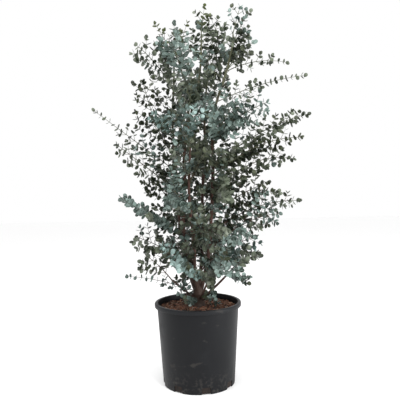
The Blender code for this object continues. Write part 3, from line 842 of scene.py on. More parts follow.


# the sprays in the darkest tone are painted shade, and the one in the palest tone painted light
SPRAYS = (
    Spray("right_spray_1", "right_leader", 1.43, -2, 0.286, 0.03, 0.025, 0.05),
    Spray("right_spray_2", "right_leader", 1.29, 3, 0.422, 0.12, 0.020, 0.05),
    Spray("right_spray_3", "right_leader", 1.12, -22, 0.268, 0.15, 0.020, 0.09, Tone.GLAUCOUS),
    Spray("right_spray_4", "right_leader", 1.00, 8, 0.469, 0.24, 0.035, 0.06),
    Spray("right_spray_5", "right_leader", 0.95, -4, 0.414, 0.17, 0.050, 0.07, Tone.DEEP),
    Spray("right_spray_6", "right_leader", 0.88, 16, 0.423, 0.15, 0.060, 0.07),
    Spray("right_spray_7", "right_leader", 0.77, -22, 0.282, 0.15, 0.020, 0.11, Tone.DEEP),
    Spray("right_spray_8", "right_leader", 0.69, 10, 0.444, 0.14, 0.045, 0.07),
    Spray("right_spray_9", "right_leader", 0.61, -18, 0.340, 0.17, 0.040, 0.11, Tone.GLAUCOUS),
    Spray("right_spray_10", "right_leader", 0.55, 18, 0.261, 0.11, 0.020, 0.10, Tone.PALE),
    Spray("low_spray_right", "low_bough_right", 0.51, 12, 0.150, 0.09, 0.020, 0.09),
    Spray("low_spray_front_right", "low_bough_right", 0.48, -50, 0.150, 0.02, 0.030, 0.08, Tone.GLAUCOUS),
    Spray("left_spray_1", "left_leader", 1.52, 187, 0.090, 0.16, 0.000, 0.05, Tone.YELLOW_GREEN),
    Spray("left_spray_2", "left_leader", 1.37, 193, 0.178, 0.20, 0.020, 0.08),
    Spray("left_spray_3", "left_leader", 1.06, 217, 0.170, 0.34, -0.060, 0.10, Tone.DEEP),
    Spray("left_spray_4", "left_leader", 0.98, 178, 0.390, 0.30, 0.000, 0.05),
    Spray("left_spray_5", "left_leader", 0.89, 200, 0.291, 0.22, 0.000, 0.07),
    Spray("left_spray_6", "left_leader", 0.78, 160, 0.140, 0.17, 0.010, 0.10, Tone.DEEP),
    Spray("left_spray_7", "left_leader", 0.67, 202, 0.300, 0.20, 0.000, 0.09, Tone.GLAUCOUS),
    Spray("left_spray_8", "left_leader", 0.55, 184, 0.245, 0.13, 0.010, 0.10),
    Spray("low_spray_left", "low_bough_left", 0.48, 196, 0.120, 0.12, 0.010, 0.08),
    Spray("low_spray_far_left", "trunk", 0.415, 174, 0.345, 0.075, 0.015, 0.05, Tone.GLAUCOUS),
    Spray("top_spray_middle", "trunk", 1.60, 60, 0.020, 0.10, 0.000, 0.06, Tone.YELLOW_GREEN),
    Spray("top_spray_back", "back_leader", 1.50, 20, 0.060, 0.22, 0.000, 0.07),
    Spray("top_spray_right", "right_leader", 1.60, -20, 0.040, 0.13, 0.000, 0.05, Tone.GLAUCOUS),
    Spray("top_spray_far_right", "right_leader", 1.54, 30, 0.110, 0.18, 0.020, 0.05),
    Spray("top_spray_right_front", "right_leader", 1.44, -24, 0.110, 0.15, -0.010, 0.07, Tone.DEEP),
    Spray("top_spray_left", "left_leader", 1.56, 0, 0.020, 0.08, 0.000, 0.06, Tone.YELLOW_GREEN),
    Spray("top_spray_left_front", "left_leader", 1.46, -36, 0.090, 0.21, 0.000, 0.05, Tone.YELLOW_GREEN),
    Spray("low_shoot_left", "trunk", 0.372, 222, 0.100, 0.04, 0.015, 0.055, Tone.GLAUCOUS),
    Spray("low_shoot_right", "trunk", 0.370, -38, 0.105, 0.02, 0.010, 0.055, Tone.GLAUCOUS),
    Spray("low_spray_front", "low_bough_front", 0.49, -62, 0.180, 0.10, 0.020, 0.10, Tone.GLAUCOUS),
    Spray("low_spray_back", "low_bough_back", 0.50, 104, 0.190, 0.11, 0.020, 0.10),
)


@dataclass(frozen=True)
class Infill:
    """Sprays spaced up one limb by rule, where the crown faces the viewer or is out of sight."""

    prefix: str
    limb: str
    count: int
    lowest: float
    highest: float
    azimuth: float
    swing: float
    low_reach: float
    high_reach: float
    breadth: float = 0.13
    low_rise: float = 0.09
    high_rise: float = 0.19
    arch: float = 0.02
    least_swing: float = 0.35
    tones: tuple[Tone, ...] = (Tone.GREY_GREEN, Tone.GLAUCOUS, Tone.DEEP)

    def sprays(self) -> Iterator[Spray]:
        """Even steps up the limb, swinging from side to side, shorter towards the top.

        Yields:
            The sprays, from the lowest up.
        """
        for number in range(self.count):
            share = number / (self.count - 1)
            side = 1 if number % 2 else -1
            swing = self.swing * side * mix(self.least_swing, 1.0, (number * GOLDEN_SHARE) % 1.0)
            yield Spray(
                f"{self.prefix}_{number + 1}",
                self.limb,
                mix(self.lowest, self.highest, share),
                self.azimuth + swing,
                mix(self.low_reach, self.high_reach, share),
                mix(self.low_rise, self.high_rise, share),
                self.arch,
                self.breadth,
                self.tones[number % len(self.tones)],
            )


# the palest tone is painted light on the front sprays, and the darkest painted shade
FRONT_TONES = (Tone.PALE, Tone.GREY_GREEN, Tone.GLAUCOUS, Tone.DEEP)
INFILLS = (
    Infill("front_spray", "front_leader", 7, 0.50, 1.34, 262.0, 44.0, 0.235, 0.100, tones=FRONT_TONES),
    Infill("front_right_spray", "right_leader", 2, 0.84, 1.08, -68.0, 16.0, 0.210, 0.190),
    Infill("back_spray", "back_leader", 7, 0.50, 1.42, 80.0, 48.0, 0.250, 0.100),
)


@dataclass
class BarkedLimbs:
    """The trunk and boughs with the relief of their bark, on the solids' own lines and radii."""

    rings_a_metre: int = 240
    least_rings: int = 24
    trunk_sides: int = 40
    limb_sides: int = 24
    ridge: float = 0.0175
    ridge_counts: tuple[int, ...] = (2, 3, 5, 8)
    wander: float = 2.2
    wander_rate: float = 31.0
    wander_quickening: float = 7.0
    scar_step: float = 0.048
    scar_swell: float = 0.05
    scar_share: float = 0.10
    phase_step: float = 1.7
    sharp: float = 60.0

    def relief(self, heights: Array, turns: Array, phase: float) -> Array:
        """What multiplies the radius: 1, plus lengthwise ridges, plus a swelling at each leaf scar.

        The ridges are the sum over their counts n of sin(n t + n phase + wander sin(rate h + n)) / n,
        for turn t and height h. A swelling is a narrow bell at every step up the limb.

        Args:
            heights: One a ring.
            turns: One a point of a ring, in radians.
            phase: What sets this limb's bark apart from the next one's.

        Returns:
            One row of factors a ring.
        """
        height, turn = heights[:, None], turns[None, :]
        ridges = 0.0
        for count in self.ridge_counts:
            rate = self.wander_rate + self.wander_quickening * count
            wander = self.wander * np.sin(height * rate + count)
            ridges = ridges + np.sin(count * turn + phase * count + wander) / count
        off_scar = (height / self.scar_step + phase) % 1.0 - 0.5
        swell = self.scar_swell * np.exp(-(off_scar / self.scar_share) ** 2)
        return 1.0 + self.ridge * ridges + swell

    def build(self, bark: Material) -> None:
        """One barked tube for the trunk and for each bough.

        Args:
            bark: Their material.
        """
        for number, limb in enumerate((TRUNK, *LIMBS)):
            count = int((limb.top_height - limb.foot_height) * self.rings_a_metre)
            shares = np.linspace(0.0, 1.0, max(self.least_rings, count))
            heights = mix(limb.foot_height, limb.top_height, shares)
            sides = self.trunk_sides if limb is TRUNK else self.limb_sides
            turns = np.linspace(0.0, math.tau, sides, endpoint=False)
            radii = limb.radii(heights)[:, None] * self.relief(heights, turns, self.phase_step * number)
            points, faces = tube(limb.points(heights), radii, sides)
            piece = make_piece(f"{limb.name}_bark", points, faces, bark, "bark", sharp=self.sharp)
            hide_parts(limb.name)
        LOG.info("barked limbs: %d", len(LIMBS) + 1)


@dataclass
class LeafShape:
    """A round leaf's shape: a rim with a slight notch at the tip, and a cupped blade on both sides."""

    rim_count: int = 12
    aspect: float = 0.88
    fullness: float = 0.12
    cup: float = 0.07
    ring_cup: float = 0.049
    ring_size: float = 0.55
    middle: float = 0.45
    thickness: float = 0.022
    notch: float = 0.03
    notch_breadth: float = 0.08

    def outline(self) -> tuple[Array, Array]:
        """The rim: along (1 - cos t) / 2, across the aspect times sin t / 2, fuller near the root.

        Returns:
            Each rim point's place along and across the leaf.
        """
        turns = np.linspace(0.0, math.tau, self.rim_count, endpoint=False)
        along = 0.5 - 0.5 * np.cos(turns)
        along = along - self.notch * np.exp(-((along - 1.0) / self.notch_breadth) ** 2)
        across = 0.5 * self.aspect * np.sin(turns) * (1.0 + self.fullness * np.cos(turns))
        return along, across

    def template(self) -> tuple[Array, Array, Array]:
        """The leaf in shares of its length.

        A smaller ring lies inside the rim on each face, and a middle point on each. The blade sinks
        towards its middle by the cup.

        Returns:
            The points, the triangles, and each point's place along and across the leaf.
        """
        along, across = self.outline()
        count, half = self.rim_count, self.thickness / 2
        inner = self.middle + (along - self.middle) * self.ring_size
        rim = np.stack([along, across, np.zeros(count)], axis=1)
        upper = np.stack([inner, across * self.ring_size, np.full(count, half - self.ring_cup)], axis=1)
        lower = upper - (0.0, 0.0, self.thickness)
        middles = np.array([[self.middle, 0.0, half - self.cup], [self.middle, 0.0, -half - self.cup]])
        points = np.concatenate([rim, upper, lower, middles])
        start = np.arange(count)
        end = (start + 1) % count
        top, low = count, 2 * count
        upper_middle, lower_middle = np.full(count, 3 * count), np.full(count, 3 * count + 1)
        faces = np.concatenate([np.stack(corners, axis=1) for corners in (
            (end, start, top + start),
            (end, top + start, top + end),
            (start, end, low + start),
            (low + start, end, low + end),
            (top + end, top + start, upper_middle),
            (low + start, low + end, lower_middle),
        )])
        chart = np.stack([points[:, 0], points[:, 1] + 0.5], axis=1)
        return points, faces, chart


@dataclass(frozen=True)
class Habit:
    """How a stem bears its leaves: their tone and size, the solid it stands for, and its chance."""

    tone: Tone
    size: float
    owner: str
    chance: random.Random

    def spread(self, half: float) -> float:
        """A random number within half of 0."""
        return self.chance.uniform(-half, half)


@dataclass
class Foliage:
    """All leaves by tone, without those that would touch a limb or leave the solids' box."""

    solids_box: Sequence[Sequence[float]]
    leaf_length: float = 0.032
    least_leaf: float = 0.018
    length_spread: Span = (0.85, 1.12)
    angle_spread: float = 12.0
    twist: float = 38.0
    past_box: float = 0.004
    lowest_middle: float = 0.362
    lowest_tip: float = 0.358
    lip_radius: float = 0.170
    lip_clear: float = 0.382
    limb_gap: float = 0.006
    limb_points: int = 90
    most_triangles: int = 190_000
    rows: dict[Tone, list] = field(default_factory=lambda: {tone: [] for tone in Tone})
    borne_by: dict[Tone, set] = field(default_factory=lambda: {tone: set() for tone in Tone})

    def add(
        self, root: Array, tangent: Array, outward: Array, size: float, angle: float, habit: Habit
    ) -> None:
        """Notes one leaf, which stands out from its twig with its blade across the twig.

        It points along cos a tangent + sin a outward, for its angle a, and is twisted a little.

        Args:
            root: Where it joins the twig.
            tangent: The twig's direction.
            outward: The side of the twig that it is on.
            size: Its share of a whole leaf's length.
            angle: Its angle from the twig, in degrees.
            habit: How the stem bears leaves.
        """
        lean = math.radians(angle + habit.spread(self.angle_spread))
        along = unit(around(lean, tangent, outward))
        facing = unit(tangent - along * tangent.dot(along))
        turn = math.radians(habit.spread(self.twist))
        normal = around(turn, facing, np.cross(facing, along))
        length = max(self.least_leaf, self.leaf_length * size * habit.chance.uniform(*self.length_spread))
        self.rows[habit.tone].append((root, along, normal, (length,) * 3))
        if habit.owner:
            self.borne_by[habit.tone].add(habit.owner)

    def clear(self, leaves: Array) -> Array:
        """Which leaves keep to the solids' box, off the limbs, and out of the pot and its mix.

        Args:
            leaves: For each leaf its root, its direction, its normal and its length three times.

        Returns:
            True for each leaf that stays.
        """
        low, high = (np.array(corner) for corner in self.solids_box)
        middle = leaves[:, 0] + 0.5 * leaves[:, 1] * leaves[:, 3, :1]
        tip = leaves[:, 0] + leaves[:, 1] * leaves[:, 3, :1]
        kept = (tip > low - self.past_box).all(axis=1) & (tip < high + self.past_box).all(axis=1)
        kept &= (middle[:, 2] > self.lowest_middle) & (tip[:, 2] > self.lowest_tip)
        over_lip = np.hypot(tip[:, 0], tip[:, 1]) > self.lip_radius
        kept &= ~(over_lip & (tip[:, 2] < self.lip_clear))
        for limb in (TRUNK, *LIMBS):
            heights = np.linspace(limb.foot_height, limb.top_height, self.limb_points)
            apart = np.linalg.norm(middle[:, None] - limb.points(heights)[None], axis=2)
            kept &= (apart - limb.radii(heights) > self.limb_gap).all(axis=1)
        return kept

    def join(self) -> None:
        """The leaves of each tone, in pieces of fewer triangles than the limit."""
        template = LeafShape().template()
        for tone, rows in self.rows.items():
            leaves = np.array(rows)
            leaves = leaves[self.clear(leaves)]
            pieces = math.ceil(len(leaves) * len(template[1]) / self.most_triangles)
            material = LeafSkin(tone).build()
            for number, part in enumerate(np.array_split(leaves, pieces)):
                piece = self.leaf_piece(f"leaves_{tone.name.lower()}_{number + 1}", part, template, material)
                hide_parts(*sorted(self.borne_by[tone]))
            LOG.info("leaves %s: %d", tone.name.lower(), len(leaves))

    def leaf_piece(
        self, name: str, leaves: Array, template: tuple[Array, Array, Array], material: Material
    ) -> bpy.types.Object:
        """One piece: root + length (x along + y aside + z normal) for every leaf and template point.

        Args:
            name: The piece's name.
            leaves: The rows of its leaves.
            template: A leaf's points, triangles and chart.
            material: Its material.

        Returns:
            The piece, with a number a leaf for its bloom.
        """
        shape, faces, chart = template
        root, along, normal, length = (leaves[:, column] for column in range(4))
        axes = np.stack([along, np.cross(normal, along), normal], axis=1)
        points = root[:, None] + length[:, :1, None] * np.einsum("pk,nkc->npc", shape, axes)
        starts = np.arange(len(leaves)) * len(shape)
        all_faces = (faces[None] + starts[:, None, None]).reshape(-1, 3)
        all_chart = np.tile(chart, (len(leaves), 1))
        piece = make_piece(name, points.reshape(-1, 3), all_faces, material, "leaf_skin", all_chart)
        bloom = np.random.default_rng(SEED + len(leaves)).uniform(0.0, 1.0, len(leaves))
        values = piece.data.attributes.new("bloom", "FLOAT", "POINT").data
        values.foreach_set("value", np.repeat(bloom, len(shape)).astype(np.float32))
        return piece


@dataclass(frozen=True)
class LeaderShoots:
    """The short shoots that clothe each leader between its sprays, shorter towards its top."""

    lowest: float = 0.47
    step: float = 0.042
    bare_tip: float = 0.01
    turn_apart: float = 50.0
    reach: float = 0.105
    reach_spread: Span = (0.6, 1.25)
    rise_spread: Span = (0.5, 1.0)
    low_share: float = 1.15
    dwindle: float = 0.45
    points: int = 5
    radius: float = 0.0016
    breadth: float = 0.035
    size: float = 0.9
    # the darkest tone among these is painted shade
    tones: tuple[Tone, ...] = (Tone.DEEP, Tone.GREY_GREEN, Tone.GREY_GREEN, Tone.GLAUCOUS)

    def lines(self, limb: Trunk | Limb, number: int, chance: random.Random) -> Iterator[Array]:
        """Straight shoots up a limb, each turned from the last by the golden angle.

        They come one at a time, because the leaves of each are drawn from the same chance.

        Args:
            limb: The leader.
            number: Its place among the leaders.
            chance: The seeded source of their spread.

        Yields:
            The points of one shoot.
        """
        heights = np.arange(self.lowest, limb.top_height - self.bare_tip, self.step)
        for step, (root, height) in enumerate(zip(limb.points(heights), heights)):
            outward = direction_at(GOLDEN_ANGLE * step + self.turn_apart * number)
            share = self.low_share - self.dwindle * height / TRUNK.top_height
            reach = self.reach * chance.uniform(*self.reach_spread) * share
            tip = root + outward * reach + UP * reach * chance.uniform(*self.rise_spread)
            yield root + np.linspace(0.0, 1.0, self.points)[:, None] * (tip - root)


@dataclass
class LeafyStems:
    """Every stem of the solids, carried on to finer twigs and all their leaves in the same reach."""

    foliage: Foliage
    shoots: LeaderShoots = LeaderShoots()
    node_step: float = 0.0200
    bare_length: float = 0.030
    bare_share: float = 0.35
    twig_bare: float = 0.012
    roll_spread: float = 0.3
    stem_points: int = 9
    stem_sides: int = 6
    stem_radius: float = 0.0032
    least_radius: float = 0.0006
    tip_share: float = 0.35
    breadth_share: float = 1.05
    slim_breadth: float = 0.05
    slim_breadth_share: float = 0.75
    slim_radius_share: float = 0.7
    slim_size: float = 0.80
    fork_below: float = 0.85
    reach_ends: Span = (1.25, 0.45)
    reach_spread: Span = (0.8, 1.15)
    least_twig: float = 0.030
    twig_points: int = 4
    twig_sides: int = 5
    twig_radius: float = 0.0013
    twig_angle: float = 50.0
    twig_spread: float = 12.0
    twig_bow: float = 0.12
    twig_leaf: float = 0.95
    leaf_angle: float = 66.0
    leaf_dwindle: float = 0.25
    young_angle: float = 34.0
    young_size: float = 0.62
    twig_sharp: float = 80.0
    stray_share: float = 0.30
    # the darkest tone among these is painted shade
    strays: tuple[Tone, ...] = (Tone.DEEP, Tone.GREY_GREEN, Tone.GLAUCOUS)
    twigs: list[tuple[Array, Array, int]] = field(default_factory=list)

    def build(self) -> None:
        """Grows every stem, then joins the twigs and the leaves into pieces."""
        sprays = [*SPRAYS, *(spray for infill in INFILLS for spray in infill.sprays())]
        for number, spray in enumerate(sprays):
            self.grow_spray(spray, random.Random(SEED + number))
        for number, leader in enumerate(LEADERS):
            chance = random.Random(SHOOT_SEED + number)
            for line in self.shoots.lines(leader, number, chance):
                habit = Habit(chance.choice(self.shoots.tones), self.shoots.size, "", chance)
                self.grow_stem(line, self.shoots.radius, self.shoots.breadth, habit)
        self.join_twigs([spray.name for spray in sprays])
        self.foliage.join()

    def grow_spray(self, spray: Spray, chance: random.Random) -> None:
        """One mass of leaves: a stem on the solid's line, with side twigs as broad as its space.

        Args:
            spray: The stem.
            chance: The seeded source of its spread.
        """
        length = math.hypot(spray.reach, spray.rise)
        end = 1.0 - 0.5 * self.foliage.leaf_length / length
        line = spray.points(np.linspace(0.0, end, self.stem_points))
        slim = spray.breadth <= self.slim_breadth
        radius = self.stem_radius * (self.slim_radius_share if slim else 1.0)
        breadth = spray.breadth * (self.slim_breadth_share if slim else self.breadth_share)
        size = self.slim_size if slim else 1.0
        self.grow_stem(line, radius, breadth, Habit(spray.tone, size, spray.name, chance))

    def grow_stem(self, line: Array, radius: float, breadth: float, habit: Habit) -> None:
        """Bears a pair at every node of a stem, each pair a quarter turn on from the last.

        A pair is two leaves, and on a broad stem every other pair is two side twigs, which bear
        pairs of their own in the same way.

        Args:
            line: The stem's points.
            radius: Its radius at the foot.
            breadth: How far its side twigs reach.
            habit: How it bears leaves.
        """
        steps = np.linalg.norm(np.diff(line, axis=0), axis=1)
        travelled = np.concatenate([[0.0], np.cumsum(steps)])
        length = travelled[-1]
        radii = np.linspace(radius, max(self.tip_share * radius, self.least_radius), len(line))
        self.twigs.append((line, radii, self.stem_sides))
        bare = min(self.bare_length, self.bare_share * length)
        count = max(2, round((length - bare) * habit.size / self.node_step))
        roll = habit.chance.uniform(0.0, math.tau)
        for node in range(count):
            share = node / count
            at = bare + (length - bare) * (node + 0.5) / count
            root = np.array([np.interp(at, travelled, values) for values in line.T])
            step = min(int(np.searchsorted(travelled, at)), len(line) - 1)
            tangent = unit(line[step] - line[step - 1])
            side, lift = directions_round(tangent)
            roll += QUARTER_TURN + habit.spread(self.roll_spread)
            reach = breadth * mix(*self.reach_ends, share) * habit.chance.uniform(*self.reach_spread)
            forks = node % 2 == 0 and reach > self.least_twig and share < self.fork_below
            size = habit.size * (1.0 - self.leaf_dwindle * share)
            for half_turn in BOTH_SIDES:
                outward = around(roll + half_turn, side, lift)
                if forks:
                    self.grow_twig(root, tangent, outward, reach, habit)
                else:
                    self.foliage.add(root, tangent, outward, size, self.leaf_angle, habit)
        self.add_young_pair(line[-1], unit(line[-1] - line[-2]), habit)

    def grow_twig(self, root: Array, tangent: Array, outward: Array, reach: float, habit: Habit) -> None:
        """A side twig with pairs of leaves along it: root + reach (s along + bow s^2 up) at share s.

        Args:
            root: Where it leaves its stem.
            tangent: The stem's direction.
            outward: The side of the stem that it is on.
            reach: Its length.
            habit: How the stem bears leaves. A stray twig takes another tone.
        """
        lean = math.radians(self.twig_angle + habit.spread(self.twig_spread))
        along = unit(around(lean, tangent, outward))
        if habit.chance.random() < self.stray_share:
            habit = replace(habit, tone=habit.chance.choice(self.strays))
        shares = np.linspace(0.0, 1.0, self.twig_points)
        line = root + reach * shares[:, None] * along + self.twig_bow * reach * (shares**2)[:, None] * UP
        radii = np.linspace(self.twig_radius, self.least_radius, len(line))
        self.twigs.append((line, radii, self.twig_sides))
        leafy = reach - self.twig_bare
        count = max(1, round(leafy / self.node_step))
        roll = habit.chance.uniform(0.0, math.tau)
        direction = unit(line[-1] - line[-2])
        side, lift = directions_round(direction)
        for node in range(count):
            share = (self.twig_bare + leafy * (node + 0.5) / count) / reach
            middle = np.array([np.interp(share, shares, values) for values in line.T])
            roll += QUARTER_TURN + habit.spread(self.roll_spread)
            size = habit.size * (self.twig_leaf - self.leaf_dwindle * share)
            for half_turn in BOTH_SIDES:
                out = around(roll + half_turn, side, lift)
                self.foliage.add(middle, direction, out, size, self.leaf_angle, habit)
        self.add_young_pair(line[-1], direction, habit)

    def add_young_pair(self, tip: Array, tangent: Array, habit: Habit) -> None:
        """A small young pair that stands half open at a tip.

        Args:
            tip: The end of the stem or twig.
            tangent: Its direction there.
            habit: How it bears leaves.
        """
        side, lift = directions_round(tangent)
        outward = around(habit.chance.uniform(0.0, math.tau), side, lift)
        for direction in (outward, -outward):
            self.foliage.add(tip, tangent, direction, self.young_size, self.young_angle, habit)

    def join_twigs(self, stands_for: Sequence[str]) -> None:
        """All stems and twigs as one piece.

        Args:
            stands_for: The masses of leaves that it replaces.
        """
        points, faces, start = [], [], 0
        for line, radii, sides in self.twigs:
            tube_points, tube_faces = tube(line, radii, sides)
            points.append(tube_points)
            faces.append(tube_faces + start)
            start += len(tube_points)
        skin = TwigSkin().build()
        tubes = (np.concatenate(points), np.concatenate(faces))
        piece = make_piece("twigs", *tubes, skin, "bark", sharp=self.twig_sharp)
        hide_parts(*stands_for)
        LOG.info("twigs: %d", len(self.twigs))


@dataclass
class NurseryPot:
    """The pot: a turned body, floor and rolled lip with soft edges, and slots round its foot."""

    height: float = 0.374
    sides: int = 192
    base_radius: float = 0.165
    top_radius: float = 0.1885
    rim_radius: float = 0.200
    wall: float = 0.003
    floor: float = 0.004
    underside_radii: Span = (0.08, 0.15)
    first_ring: float = 0.02
    body_rings: int = 14
    lip_depth: float = 0.018
    lip_round: float = 0.005
    lip_edge: float = 0.0012
    edge: float = 0.002
    arc_points: int = 6
    slot_count: int = 8
    slot_width: float = 0.042
    slot_height: float = 0.032
    slot_depth: float = 0.022
    slot_corner: float = 0.0085
    slot_corner_steps: int = 6
    first_slot: float = -79.0
    sharp: float = 35.0

    def arc(self, x: float, z: float, radius: float, start: float, end: float) -> list[Span]:
        """Points of a round edge: (x, z) + radius (cos t, sin t), for t from start to end in degrees."""
        turns = np.radians(np.linspace(start, end, self.arc_points))
        return [(x + radius * math.cos(turn), z + radius * math.sin(turn)) for turn in turns]

    def wall_radius(self, level: float) -> float:
        """The body's outer radius, which widens evenly from its foot to its lip."""
        return mix(self.base_radius, self.top_radius, level / (self.height - self.lip_depth))

    def profile(self) -> list[Span]:
        """The section from the middle of the underside, round the wall and lip, to the floor.

        Returns:
            Its points, each a radius and a height.
        """
        lip_bottom = self.height - self.lip_depth
        inner = self.top_radius - self.wall
        rim, edge = self.rim_radius, self.edge
        levels = np.linspace(self.first_ring, lip_bottom, self.body_rings)
        return [
            *((radius, 0.0) for radius in (0.0, *self.underside_radii)),
            *self.arc(self.base_radius - edge, edge, edge, -90.0, 0.0),
            *((self.wall_radius(level), level) for level in levels),
            (self.top_radius, self.height - self.wall),
            (rim - self.wall, self.height - self.wall - edge),
            *self.arc(rim - self.lip_edge, lip_bottom + self.lip_edge, self.lip_edge, -170.0, 0.0),
            *self.arc(rim - self.lip_round, self.height - self.lip_round, self.lip_round, 0.0, 90.0),
            *self.arc(inner + edge, self.height - edge, edge, 90.0, 180.0),
            (inner, lip_bottom),
            (self.wall_radius(self.floor) - self.wall, self.floor),
            (0.0, self.floor),
        ]

    def turned(self) -> tuple[Array, Array]:
        """The surface (r cos t, r sin t, z) over the profile and the turn, closed at both poles.

        Returns:
            The points and the quads.
        """
        profile = np.array(self.profile())
        turns = np.linspace(0.0, math.tau, self.sides, endpoint=False)
        radius, height = profile[:, :1], profile[:, 1:]
        columns = np.broadcast_arrays(radius * np.cos(turns), radius * np.sin(turns), height)
        return np.stack(columns, axis=-1).reshape(-1, 3), grid_faces(len(profile), self.sides)

    def slot_block(self, azimuth: float) -> bpy.types.Object:
        """A block with a rounded top that cuts one slot through the foot.

        Args:
            azimuth: The slot's azimuth in degrees.

        Returns:
            The block, in no collection yet.
        """
        shape = bmesh.new()
        bmesh.ops.create_cube(shape, size=1.0)
        size = (2.0 * self.slot_depth, self.slot_width, 2.0 * self.slot_height)
        bmesh.ops.scale(shape, vec=size, verts=shape.verts)
        upper = [edge for edge in shape.edges if all(vert.co.z > 0 for vert in edge.verts)]
        ends = [edge for edge in upper if abs(edge.verts[0].co.y - edge.verts[1].co.y) < MERGE_DISTANCE]
        rounding = {"offset": self.slot_corner, "segments": self.slot_corner_steps, "profile": 0.5}
        bmesh.ops.bevel(shape, geom=ends, affect="EDGES", **rounding)
        mesh = bpy.data.meshes.new("slot")
        shape.to_mesh(mesh)
        shape.free()
        block = bpy.data.objects.new("slot", mesh)
        block.location = Vector(self.base_radius * direction_at(azimuth))
        block.rotation_euler.z = math.radians(azimuth)
        return block

    def cut_slots(self, pot: bpy.types.Object) -> None:
        """Cuts the slots through the foot and clears away what cut them.

        Args:
            pot: The turned pot.
        """
        slots = bpy.data.collections.new("slots")
        bpy.context.scene.collection.children.link(slots)
        for number in range(self.slot_count):
            slots.objects.link(self.slot_block(self.first_slot + 360.0 * number / self.slot_count))
        cut = pot.modifiers.new("slots", "BOOLEAN")
        cut.operation = "DIFFERENCE"
        cut.operand_type = "COLLECTION"
        cut.collection = slots
        made = bpy.data.meshes.new_from_object(pot.evaluated_get(bpy.context.evaluated_depsgraph_get()))
        pot.modifiers.clear()
        pot.data = made
        for slot in list(slots.objects):
            bpy.data.objects.remove(slot)
        bpy.data.collections.remove(slots)
        pot.data.set_sharp_from_angle(angle=math.radians(self.sharp))

    def build(self) -> None:
        """The pot in its plastic."""
        points, faces = self.turned()
        pot = make_piece("nursery_pot", points, faces, PotPlastic().build(), "pot_plastic")
        shape = bmesh.new()
        shape.from_mesh(pot.data)
        bmesh.ops.remove_doubles(shape, verts=shape.verts, dist=MERGE_DISTANCE)
        bmesh.ops.recalc_face_normals(shape, faces=shape.faces)
        shape.to_mesh(pot.data)
        shape.free()
        self.cut_slots(pot)
        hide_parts("pot")
        LOG.info("nursery pot: %d faces", len(pot.data.polygons))


@dataclass(frozen=True)
class Strewn:
    """One kind of loose piece on the mix: its finish, count and length, and how flat it is."""

    finish: Finish
    count: int
    length: float
    flat: float = 1.0


@dataclass
class PottingMix:
    """The bark mix: the solid's own plug, dressed, with loose chips and white grains on top."""

    damp: BarkChips = BarkChips("damp_mix", (0.003, 0.002, 0.0015), (0.024, 0.013, 0.009))
    strewn: tuple[Strewn, ...] = (
        Strewn(BarkChips("red_chips", (0.011, 0.005, 0.003), (0.250, 0.108, 0.060)), 1500, 0.013),
        Strewn(BarkChips("pale_chips", (0.140, 0.080, 0.050), (0.330, 0.220, 0.140)), 170, 0.0117),
        Strewn(PlainGrain("white_grains", (0.72, 0.71, 0.68)), 90, 0.0050, 0.45),
    )
    top: float = 0.351
    edge_drop: float = 0.006
    level_radius: float = 0.045
    outer_radius: float = 0.184
    strewn_from: float = 0.030
    strewn_to: float = 0.180
    lift_spread: Span = (-0.001, 0.0045)
    length_spread: Span = (0.45, 1.25)
    width_spread: Span = (0.35, 0.8)
    thickness_spread: Span = (0.15, 0.4)
    corner_spread: Span = (0.65, 1.15)
    tilt: float = 0.30
    sharp: float = 30.0

    def surface_height(self, radius: Array) -> Array:
        """Level out to a radius, then down in proportion to the wall."""
        share = (radius - self.level_radius) / (self.outer_radius - self.level_radius)
        return self.top - self.edge_drop * np.clip(share, 0.0, 1.0)

    def scatter(self, kind: Strewn, seed: int) -> None:
        """Pieces thrown evenly over the top: rough blocks, each turned, tilted and sized by chance.

        A block's eight corners are (x, y, z) = (+-length, +-width, +-thickness) / 2, each moved a
        little, turned by its own azimuth and tilt, and set at its place.

        Args:
            kind: What is strewn.
            seed: What its chance starts from.
        """
        chance, count = np.random.default_rng(seed), kind.count
        least = (self.strewn_from / self.strewn_to) ** 2
        radius = np.sqrt(chance.uniform(least, 1.0, count)) * self.strewn_to
        turn = chance.uniform(0.0, math.tau, count)
        height = self.surface_height(radius) + chance.uniform(*self.lift_spread, count) * kind.flat
        place = np.stack([radius * np.cos(turn), radius * np.sin(turn), height], axis=1)
        lengths = kind.length * chance.uniform(*self.length_spread, (count, 1))
        widths = chance.uniform(*self.width_spread, count)
        thicknesses = chance.uniform(*self.thickness_spread, count) / kind.flat
        sizes = lengths * np.stack([np.ones(count), widths, thicknesses], axis=1)
        corners = BLOCK_CORNERS[None] * sizes[:, None] / 2
        corners = corners * chance.uniform(*self.corner_spread, corners.shape)
        azimuth = chance.uniform(0.0, math.tau, count)
        tilt = chance.normal(0.0, self.tilt, (2, count))
        along = np.stack([np.cos(azimuth), np.sin(azimuth), tilt[0]], axis=1)
        along /= np.linalg.norm(along, axis=1)[:, None]
        aside = np.stack([-np.sin(azimuth), np.cos(azimuth), tilt[1]], axis=1)
        aside -= along * (along * aside).sum(axis=1)[:, None]
        aside /= np.linalg.norm(aside, axis=1)[:, None]
        axes = np.stack([along, aside, np.cross(along, aside)], axis=1)
        points = place[:, None] + np.einsum("npk,nkc->npc", corners, axes)
        starts = len(BLOCK_CORNERS) * np.arange(count)
        faces = (BLOCK_QUADS[None] + starts[:, None, None]).reshape(-1, 4)
        finish = kind.finish
        make_piece(finish.name, points.reshape(-1, 3), faces, finish.build(), "bark_mix", sharp=self.sharp)

    def build(self) -> None:
        """Dresses the plug and scatters what lies on it."""
        plug = frame["nodes"]["potting_mix"]
        plug.data.materials.clear()
        plug.data.materials.append(self.damp.build())
        for number, kind in enumerate(self.strewn):
            self.scatter(kind, SEED + number)
        LOG.info("potting mix: %d loose pieces", sum(kind.count for kind in self.strewn))


@dataclass(frozen=True)
class Lamp:
    """A square soft light: its name, place, side and power."""

    name: str
    place: Place
    size: float
    power: float


